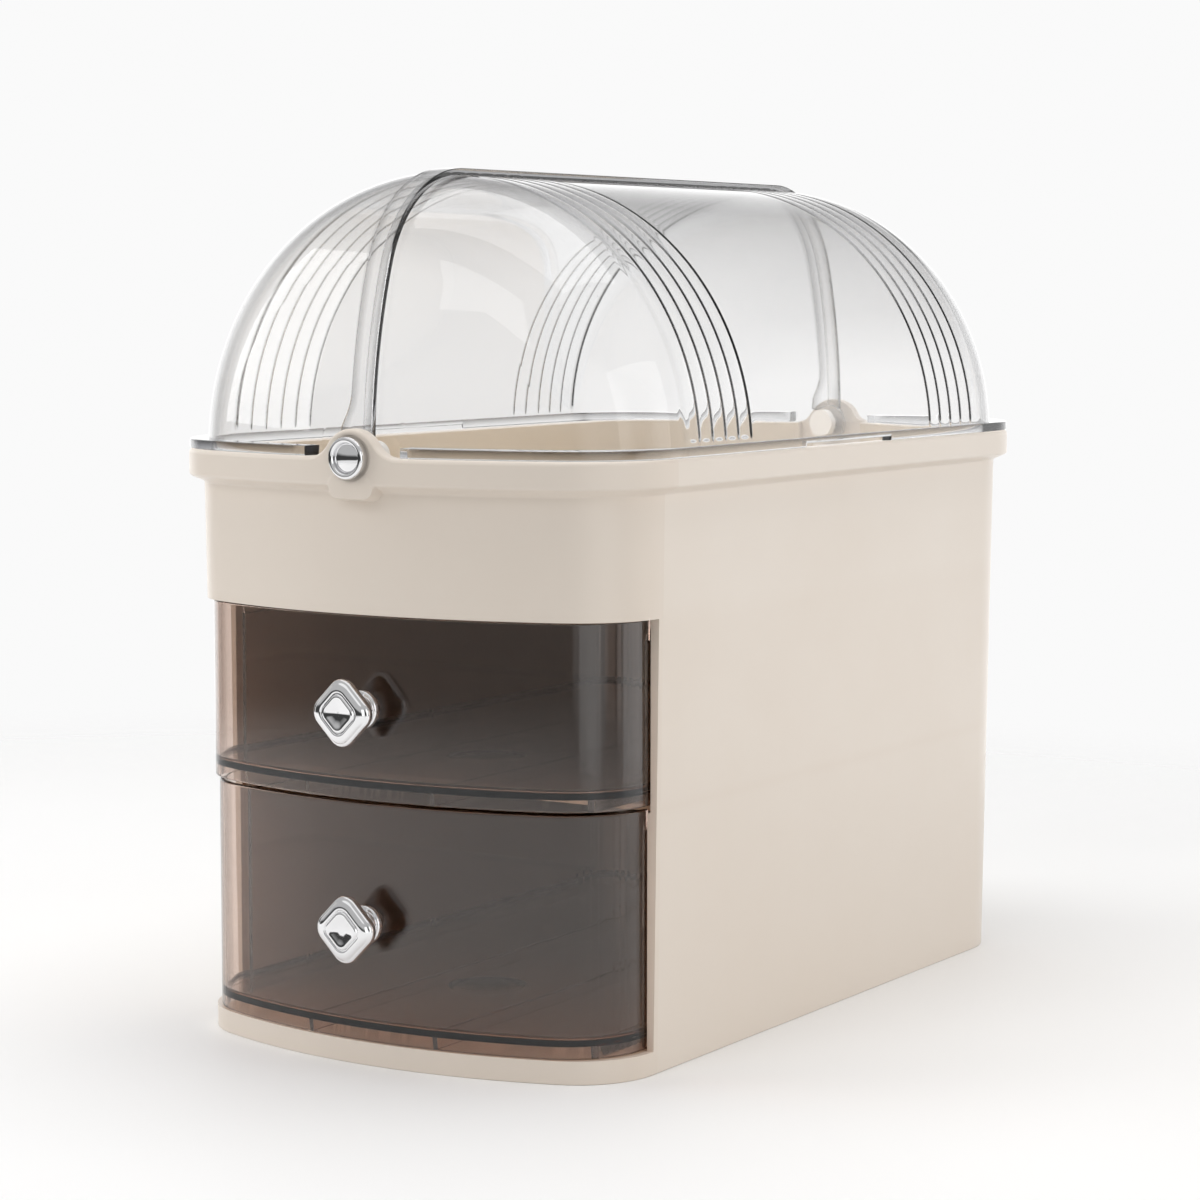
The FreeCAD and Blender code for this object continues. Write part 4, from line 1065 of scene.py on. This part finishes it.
    def build(self) -> bpy.types.Object:
        """A closed section, wall and flange, carried along the profile and turned about the axis.

        Returns:
            The half lid.
        """
        rho, y, away, along, turn = self.columns()
        sign, left = self.side.value, self.side is Side.LEFT
        low_angle = np.arccos(self.flange_high / rho)
        inner_low = np.arccos(self.flange_low / (rho - self.wall * away))
        shares = np.concatenate([np.linspace(0.0, 0.94, 50), [0.955, 0.97, 0.98, 0.988, 0.994, 1.0]])
        outer: list[tuple[Array, Array]] = []
        shade_lines: list[Array] = []
        inner: list[Array] = []
        edge = np.zeros_like(rho)
        if left:
            below_flare = np.clip(self.flare_top - rho, 0.0, self.flare)
            half = self.strip_half + self.flare - np.sqrt(self.flare ** 2 - below_flare ** 2)
            edge = np.minimum(np.arcsin(np.clip(half / rho, 0.0, 0.99)), 0.85 * low_angle)
            begin = -np.arcsin(self.strip_half / rho)
            soft = self.strip_soft
            for share, sink, nudge in ((0.0, soft, 0.0), (0.0, 0.0, soft), (0.3, 0.0, 0.0), (0.6, 0.0, 0.0),
                                       (1.0, 0.0, -soft), (1.0, soft, 0.0)):
                angle = blend(begin, edge, share) + nudge / rho
                outer.append((angle, np.full_like(rho, self.strip_proud - sink)))
                inner.append(angle)
                # The strip's edge rows get a painted shade line.
                shade_lines.append(np.full_like(rho, self.strip_shade if share in (0.0, 1.0) else 0.0))
        wave, bell = self.scallop(y)
        for share in shares:
            angle = blend(edge, low_angle, share)
            above = (low_angle - angle) * rho
            fade = ease(above, 0.8 * MM, 2.6 * MM)
            outer.append((angle, wave * fade))
            # Painted shade lines in the flutes' grooves and along the dome's foot.
            shade_lines.append(np.maximum(self.flute_shade * bell * fade, self.foot_shade if share == 0.0 else 0.0))
            inner.append(blend(edge, inner_low, share))
        rows = [self.turned(rho + d * away, y + d * along, angle, sign) for angle, d in outer]
        rows += self.flange(rho, y, turn, sign)
        # Painted shade line along the flange's edge.
        line = self.flange_shade * ease(rho, self.flange_start, 1.3 * self.flange_start)
        shade_lines += [line if row in (1, 2) else np.zeros_like(rho) for row in range(len(rows) - len(shade_lines))]
        rows += [self.turned(rho - self.wall * away, y - self.wall * along, angle, sign)
                 for angle in inner[::-1]]
        shade_lines += [np.zeros_like(rho)] * (len(rows) - len(shade_lines))
        shade_line = np.pad(np.stack(shade_lines), ((0, 0), (1, 1)))
        mid_rho, mid_y = rho - 0.5 * self.wall * away, y - 0.5 * self.wall * along
        angles = np.stack(inner)
        front, rear = (self.closing(angles[:, column], mid_rho[column], mid_y[column], len(rows), sign)
                       for column in (0, -1))
        points = np.concatenate([front, np.stack(rows), rear], axis=1)
        surface = Surface()
        surface.grid(points, round_rows=True, shade_line=shade_line)
        for end in End:
            surface.grid(self.ear_ring(end), round_rows=True, round_columns=True)
        return surface.build(self.node + "_dome")

    def turned(self, rho: Array, y: Array, angle: Array, sign: float) -> Array:
        """Points at a distance from the axis, turned by an angle from straight up towards the half's side."""
        return np.column_stack([sign * rho * np.sin(angle), y, self.pivot + rho * np.cos(angle)])

    def closing(self, angles: Array, rho: float, y: float, count: int, sign: float) -> Array:
        """A last column in which both skins meet halfway through the wall, so that the end is closed.

        Args:
            angles: The rows' angles over one skin.
            rho: Distance of the wall's middle from the axis.
            y: The wall's middle along the axis.
            count: Number of rows round the whole section.
            sign: The half's side.

        Returns:
            The column, up one skin, across the flange's rows and down the other.
        """
        mid = self.turned(np.full_like(angles, rho), np.full_like(angles, y), angles, sign)
        flange = np.repeat(mid[-1:], count - 2 * len(mid), axis=0)
        return np.concatenate([mid, flange, mid[::-1]])[:, None, :]

    def flange(self, rho: Array, y: Array, turn: Array, sign: float) -> list[Array]:
        """Rows round the flange, from the dome out to the rim's edge, down and back under.

        Where there is no flange, near the pivots, the rows lie on the dome.

        Args:
            rho: The columns' distance from the axis.
            y: The columns' y.
            turn: The columns' normal angle.
            sign: The half's side.

        Returns:
            The rows.
        """
        aside, ahead = self.rim.at(turn)
        straight = turn >= math.pi / 2 - 1e-9
        ahead = np.where(straight, np.abs(y) * self.rim.along / self.dome.along, ahead) * np.sign(y)
        present = aside > self.flange_start
        width = np.where(present, np.hypot(aside - rho, ahead - y), 0.0)
        soft = np.minimum(self.flange_soft, 0.4 * width)
        finger = np.where(np.abs(y) < self.finger_half, self.finger_high, 0.0)
        low, high = self.flange_low + finger, np.full_like(rho, self.flange_high)
        out_x, out_y = np.sin(turn), -np.cos(turn) * np.where(y < 0, 1.0, -1.0)
        out_y = np.where(straight, 0.0, out_y)
        rows = []
        for back, height in ((1.0, high), (0.3, high - 0.3 * soft), (0.0, high - soft),
                             (0.0, low + soft), (0.3, low + 0.3 * soft), (1.0, low)):
            base = np.sqrt(rho ** 2 - height ** 2)
            x = np.where(present, aside - back * soft * out_x, base)
            deep = np.where(present, ahead - back * soft * out_y, y)
            rows.append(np.column_stack([sign * x, deep, self.pivot + height]))
        base = np.sqrt(rho ** 2 - low ** 2)
        rows.append(np.column_stack([sign * base, y, self.pivot + low]))
        rows.append(np.column_stack([sign * np.sqrt(rho ** 2 - self.flange_low ** 2), y,
                                     np.full_like(rho, self.pivot + self.flange_low)]))
        return rows

    def ear_ring(self, end: End) -> Array:
        """The ear round a pivot: a rectangular section with its corners cut off, turned about the axis.

        Args:
            end: The end of the box that the pivot is at.

        Returns:
            A grid with a row for each point of the section.
        """
        outside = self.dome.reach - 0.1 * MM
        inside, soft, bore = outside - self.ear_thick, self.ear_soft, self.ear_bore
        radius = np.array([bore, bore, bore + soft, self.ear - soft, self.ear, self.ear, self.ear - soft,
                           bore + soft])
        depth = np.array([inside + soft, outside - soft, outside, outside, outside - soft, inside + soft,
                          inside, inside])
        angle = np.linspace(0.0, 2.0 * math.pi, self.ear_steps + 1)[:-1]
        return np.stack([radius[:, None] * np.cos(angle),
                         np.broadcast_to(end.value * depth[:, None], (len(depth), self.ear_steps)),
                         self.pivot + radius[:, None] * np.sin(angle)], axis=-1)

    def make(self, finish: bpy.types.Material) -> None:
        """Build the half lid, dress it and let it ride on its own body.

        Args:
            finish: The half lid's finish.
        """
        lid = self.build()
        dress(lid, finish)
        settle(lid, self.node, "clear", self.node)


@dataclass
class Knob:
    """A plated knob: a ringed neck that opens into a rounded square, set on its corner, with a stepped face."""

    node: str
    body: str
    seat: float = 0.3 * MM
    half: float = 9.3 * MM
    corner: float = 5.2 * MM
    steps: int = 120

    @staticmethod
    def outline(half: float, corner: float, angle: Array) -> Array:
        """Distance from the middle of a rounded square to its edge, in a direction.

        It is the distance to the flat side, half over the larger of cos and sin, or to the corner's circle.

        Args:
            half: Half the distance across the flats.
            corner: The corner's radius.
            angle: Direction from the middle of a flat.

        Returns:
            The distances.
        """
        c, s = np.abs(np.cos(angle)), np.abs(np.sin(angle))
        flat = half / np.maximum(c, s)
        centre = half - corner
        dot = centre * (c + s)
        arc = dot + np.sqrt(np.clip(dot ** 2 - 2.0 * centre ** 2 + corner ** 2, 0.0, None))
        return np.where(flat * np.minimum(c, s) > centre, arc, flat)

    @staticmethod
    def section() -> list[tuple[float, float, float]]:
        """Stations along the knob in mm: distance from the front wall, size, and share of squareness."""
        return [(0.0, 0.0, 0.0), (0.0, 6.2, 0.0), (0.15, 6.4, 0.0), (1.3, 6.4, 0.0), (1.7, 6.2, 0.0),
                (1.9, 5.7, 0.0), (2.1, 4.5, 0.0), (2.3, 4.25, 0.0), (2.6, 4.2, 0.0), (2.85, 4.5, 0.0),
                (3.0, 5.1, 0.0), (3.3, 5.45, 0.0), (3.7, 5.5, 0.0), (4.1, 5.3, 0.0), (4.35, 4.8, 0.0),
                (4.6, 4.4, 0.0), (4.95, 4.35, 0.05), (5.3, 4.6, 0.1), (5.9, 5.2, 0.25), (6.6, 6.0, 0.5),
                (7.4, 7.0, 0.75), (8.2, 7.95, 0.92), (8.9, 8.7, 1.0), (9.5, 9.1, 1.0), (10.0, 9.3, 1.0),
                (10.6, 9.4, 1.0), (11.3, 9.4, 1.0), (11.8, 9.28, 1.0), (12.2, 9.05, 1.0), (12.45, 8.75, 1.0),
                (12.5, 8.55, 1.0), (12.55, 8.4, 1.0), (12.9, 8.25, 1.0), (13.3, 7.9, 1.0), (13.6, 7.4, 1.0),
                (13.8, 6.8, 1.0), (13.9, 6.2, 1.0), (13.88, 5.9, 1.0), (13.7, 5.72, 1.0), (13.5, 5.6, 1.0),
                (13.5, 5.45, 1.0), (13.75, 5.3, 1.0), (14.05, 5.1, 1.0), (14.2, 4.8, 1.0), (14.18, 4.4, 1.0),
                (14.0, 3.6, 1.0), (13.75, 2.6, 1.0), (13.55, 1.3, 0.8), (13.5, 0.0, 0.0)]

    def build(self) -> bpy.types.Object:
        """The stations' outlines, turned so that a corner points up, in one closed grid.

        Returns:
            The knob.
        """
        low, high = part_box(self.node)
        height, front = (low[2] + high[2]) / 2, high[1] + self.seat
        angle = np.linspace(0.0, 2.0 * math.pi, self.steps + 1)[:-1]
        rows = []
        for along, size, square in self.section():
            ring = np.full_like(angle, size * MM)
            if size > 0.0:
                shaped = self.outline(size * MM, size * MM * self.corner / self.half, angle - math.pi / 4)
                ring = blend(ring, shaped, square)
            rows.append(np.column_stack([ring * np.cos(angle), np.full_like(angle, front - along * MM),
                                         height + ring * np.sin(angle)]))
        surface = Surface()
        surface.grid(np.stack(rows), round_columns=True)
        return surface.build(self.node + "_plated", crease=50.0)

    def make(self, finish: bpy.types.Material) -> None:
        """Build the knob, dress it and let it ride on its drawer.

        Args:
            finish: The knob's finish.
        """
        knob = self.build()
        dress(knob, finish)
        settle(knob, self.body, "chrome", self.node)


@dataclass
class PivotCap:
    """A plated pivot rivet: a shank and a head with a raised round edge, a groove and a domed middle."""

    node: str
    end: End
    pivot: float = 200.0 * MM
    shank: float = 3.0 * MM
    shank_soft: float = 0.3 * MM
    head: float = 3.2 * MM
    rim_middle: float = 5.9 * MM
    rim_round: float = 1.0 * MM
    groove: float = 1.45 * MM
    dome: float = 4.75 * MM
    dome_sink: float = 1.25 * MM
    dome_rise: float = 1.05 * MM
    steps: int = 96

    def build(self) -> bpy.types.Object:
        """A profile of distance and radius turned about the pivots' axis.

        Returns:
            The rivet.
        """
        low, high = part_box(self.node)
        outer = high[1] if self.end is End.REAR else -low[1]
        inner = low[1] if self.end is End.REAR else -high[1]
        seat, full = outer - self.head, self.rim_middle + self.rim_round
        rim = [(outer - self.rim_round * (1.0 - math.sin(a)), self.rim_middle + self.rim_round * math.cos(a))
               for a in np.radians(np.linspace(0.0, 180.0, 11))]
        domed = [(outer - self.dome_sink + self.dome_rise * (1.0 - (r / self.dome) ** 2), r)
                 for r in np.array([4.75, 4.2, 3.6, 3.0, 2.3, 1.5, 0.8, 0.0]) * MM]
        profile = [(inner, 0.0), (inner, self.shank - self.shank_soft), (inner + self.shank_soft, self.shank),
                   (seat, self.shank), (seat, full - 0.3 * MM), (seat + 0.2 * MM, full), *rim,
                   (outer - self.groove, self.dome + 0.1 * MM), *domed]
        along, radius = np.array(profile).T[:, :, None]
        angle = np.linspace(0.0, 2.0 * math.pi, self.steps + 1)[:-1]
        points = np.stack([radius * np.cos(angle),
                           np.broadcast_to(self.end.value * along, (len(profile), self.steps)),
                           self.pivot + radius * np.sin(angle)], axis=-1)
        surface = Surface()
        surface.grid(points, round_columns=True)
        return surface.build(self.node + "_cap", crease=50.0)

    def make(self, finish: bpy.types.Material) -> None:
        """Build the rivet, dress it and let it ride on the cabinet.

        Args:
            finish: The rivet's finish.
        """
        cap = self.build()
        dress(cap, finish)
        settle(cap, "cabinet", "chrome", self.node)


@dataclass
class Studio:
    """A white sheet, a painted room for reflections, soft boxes and the camera."""

    place: tuple[float, float, float] = (0.61714, -0.98945, 0.25434)
    aim: tuple[float, float, float] = (-0.00691, -0.00438, 0.14069)
    lens: float = 96.13
    sensor: float = 36.0
    sheet: float = 1.5
    sheet_rows: int = 12
    sheet_steps: int = 64
    sheet_middle: tuple[float, float, float] = (-0.06, -0.16, 0.0)
    right_light: tuple[float, float, float] = (0.852, -0.50, 0.15)

    def floor(self) -> None:
        """A round white sheet whose edge fades into the surroundings."""
        radius = np.linspace(0.0, self.sheet, self.sheet_rows)[:, None]
        angle = np.linspace(0.0, 2.0 * math.pi, self.sheet_steps + 1)[:-1]
        x, y = radius * np.cos(angle), radius * np.sin(angle)
        surface = Surface()
        surface.grid(np.stack([x, y, np.zeros_like(x)], axis=-1), round_columns=True)
        sheet = surface.build("white_sheet")
        dress(sheet, WhiteSheet("white_sheet", self.sheet_middle).material())

    def surroundings(self) -> None:
        """White where the eye looks straight through, a painted room for gloss, pale for soft light.

        The room's light is the largest of a backdrop, an overhead sheet, a soft light at the right, the floor
        and a dim wall ahead, each a ramp over the direction of the look.
        """
        world = bpy.data.worlds.new("studio")
        bpy.context.scene.world = world
        world.use_nodes = True
        world.node_tree.nodes.clear()
        tree = Tree(world.node_tree)
        rays = tree.add("LightPath")
        seen = tree.math("MAXIMUM", rays.outputs["Is Camera Ray"], rays.outputs["Is Transmission Ray"])
        direction = tree.add("TexCoord").outputs["Generated"]
        look = tree.add("SeparateXYZ", {0: direction})
        up = look.outputs["Z"]
        towards = tree.add("VectorMath", {0: direction, 1: self.right_light}, operation="DOT_PRODUCT")
        backdrop = tree.math("MULTIPLY", tree.spread(up, 0.42, 0.20, 0.40, 1.55),
                             tree.spread(look.outputs["Y"], 0.05, 0.35, 0.0, 1.0))
        overhead = tree.spread(up, 0.66, 0.84, 0.0, 0.95)
        right = tree.spread(towards.outputs["Value"], 0.88, 0.955, 0.0, 1.5)
        floor = tree.spread(up, -0.125, -0.165, 0.05, 0.85)
        ahead = tree.spread(up, 0.04, 0.16, 0.05, 0.50)
        strength = backdrop
        for part in (overhead, right, floor, ahead):
            strength = tree.math("MAXIMUM", strength, part)
        white = tree.add("Background", {"Color": (1.0, 1.0, 1.0, 1.0), "Strength": 0.955})
        soft = tree.add("Background", {"Color": (1.0, 0.99, 0.98, 1.0), "Strength": 0.48})
        room = tree.add("Background", {"Color": (1.0, 1.0, 1.0, 1.0), "Strength": strength})
        gloss = tree.add("MixShader", {0: rays.outputs["Is Glossy Ray"], 1: soft.outputs["Background"],
                                       2: room.outputs["Background"]})
        mix = tree.add("MixShader", {0: seen, 1: gloss.outputs["Shader"],
                                     2: white.outputs["Background"]})
        tree.add("OutputWorld", {"Surface": mix.outputs["Shader"]})

    def soft_box(self, name: str, place: Sequence[float], aim: Sequence[float], size: tuple[float, float],
                 power: float) -> None:
        """A rectangular lamp that points at a place.

        Args:
            name: The lamp's name.
            place: Where it hangs.
            aim: What it points at.
            size: Its width and height.
            power: Its power in watts.
        """
        lamp = bpy.data.lights.new(name, "AREA")
        lamp.shape, lamp.size, lamp.size_y, lamp.energy = "RECTANGLE", size[0], size[1], power
        holder = bpy.data.objects.new(name, lamp)
        self.point(holder, place, aim)
        holder.visible_camera = False
        holder.visible_glossy = False

    @staticmethod
    def point(holder: bpy.types.Object, place: Sequence[float], aim: Sequence[float]) -> None:
        """Put a lamp or a camera into the scene, turned towards a place.

        Args:
            holder: The lamp's or camera's object.
            place: Where it stands.
            aim: What it points at.
        """
        holder.location = place
        holder.rotation_euler = (Vector(aim) - Vector(place)).to_track_quat("-Z", "Y").to_euler()
        bpy.context.scene.collection.objects.link(holder)

    def camera(self) -> None:
        """The camera at the photograph's place and angle."""
        lens = bpy.data.cameras.new("camera")
        lens.lens, lens.sensor_width, lens.clip_start = self.lens, self.sensor, 0.01
        holder = bpy.data.objects.new("camera", lens)
        self.point(holder, self.place, self.aim)
        bpy.context.scene.camera = holder

    def build(self) -> None:
        """Set up the sheet, the light, the camera and the view transform."""
        self.floor()
        self.surroundings()
        self.soft_box("top_box", (0.0, 0.1, 1.5), (0.0, 0.0, 0.1), (1.5, 1.3), 12.5)
        self.soft_box("right_box", (1.5, 0.1, 0.55), (0.0, 0.0, 0.15), (1.5, 0.9), 6.6)
        self.soft_box("left_box", (-1.4, -0.7, 0.7), (0.0, 0.0, 0.15), (1.0, 1.0), 9.6)
        self.soft_box("front_box", (-0.2, -1.9, 1.5), (0.0, 0.0, 0.1), (1.2, 0.8), 5.6)
        self.camera()
        scene = bpy.context.scene
        scene.view_settings.view_transform = "Standard"
        scene.cycles.max_bounces = 20
        scene.cycles.transmission_bounces = 18
        scene.cycles.transparent_max_bounces = 24
        scene.cycles.glossy_bounces = 8
        scene.cycles.caustics_reflective = False
        scene.cycles.caustics_refractive = True


def dress_nodes(finishes: dict[str, bpy.types.Material]) -> None:
    """Give the CAD nodes that stay in view their finishes.

    Args:
        finishes: Node names to materials.
    """
    for name, material in finishes.items():
        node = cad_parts[name]
        for slot in node.material_slots:
            slot.material = material
        if not node.material_slots:
            node.data.materials.append(material)
        LOG.info("%s keeps its solid", name)


def main() -> None:
    """Build every sub-assembly, dress it and set up the studio."""
    logging.basicConfig(level=logging.INFO, format="%(name)s: %(message)s")
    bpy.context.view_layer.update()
    skin, marks = moulded_skin(), handling_marks()
    cream = CreamPlastic("cream", skin, marks).material()
    # A darker, warmer copy of the cream paints shade on the inner faces, the base plate, the shelf and the
    # tray's floor.
    cream_inner = CreamPlastic("cream_inner", skin, marks, pale=(0.575, 0.495, 0.395, 1.0),
                               deep=(0.545, 0.46, 0.36, 1.0), gloss=(0.32, 0.44)).material()
    # The smoked finish paints near-black shade at its edges and along its shade lines.
    smoked = ClearPlastic("smoked", skin, marks, tint=(0.64, 0.30, 0.08, 1.0), density=150.0,
                          shade=(0.97, 0.96, 0.95, 1.0), rim=(0.02, 0.02, 0.025, 1.0), index=1.58).material()
    clear = ClearPlastic("clear", skin, marks).material()
    chrome = BrightMetal("chrome", skin, marks).material()
    steel = BrightMetal("steel", skin, marks, pale=(0.62, 0.61, 0.59, 1.0), deep=(0.40, 0.39, 0.38, 1.0),
                        gloss=(0.22, 0.36), relief=0.012 * MM).material()
    retainer = CreamPlastic("retainer", skin, marks, pale=(0.78, 0.75, 0.71, 1.0), deep=(0.70, 0.67, 0.62, 1.0),
                            gloss=(0.30, 0.42)).material()

    CabinetShell().make(cream, cream_inner)
    for name in ("lower", "upper"):
        Drawer(name + "_drawer").make(smoked)
    for name in ("lower", "upper"):
        Knob(name + "_knob", name + "_drawer").make(chrome)
    for side, name in ((Side.LEFT, "left_lid"), (Side.RIGHT, "right_lid")):
        HalfLid(side, name).make(clear)
    for end, name in ((End.FRONT, "front_rivet"), (End.REAR, "rear_rivet")):
        PivotCap(name, end).make(chrome)
    dress_nodes({"base_plate": cream_inner, "middle_shelf": cream_inner, "tray_floor": cream_inner,
                 "lower_knob_screw": steel, "upper_knob_screw": steel,
                 "front_rivet_retainer": retainer, "rear_rivet_retainer": retainer})
    Studio().build()


if __name__ == "__main__":
    main()
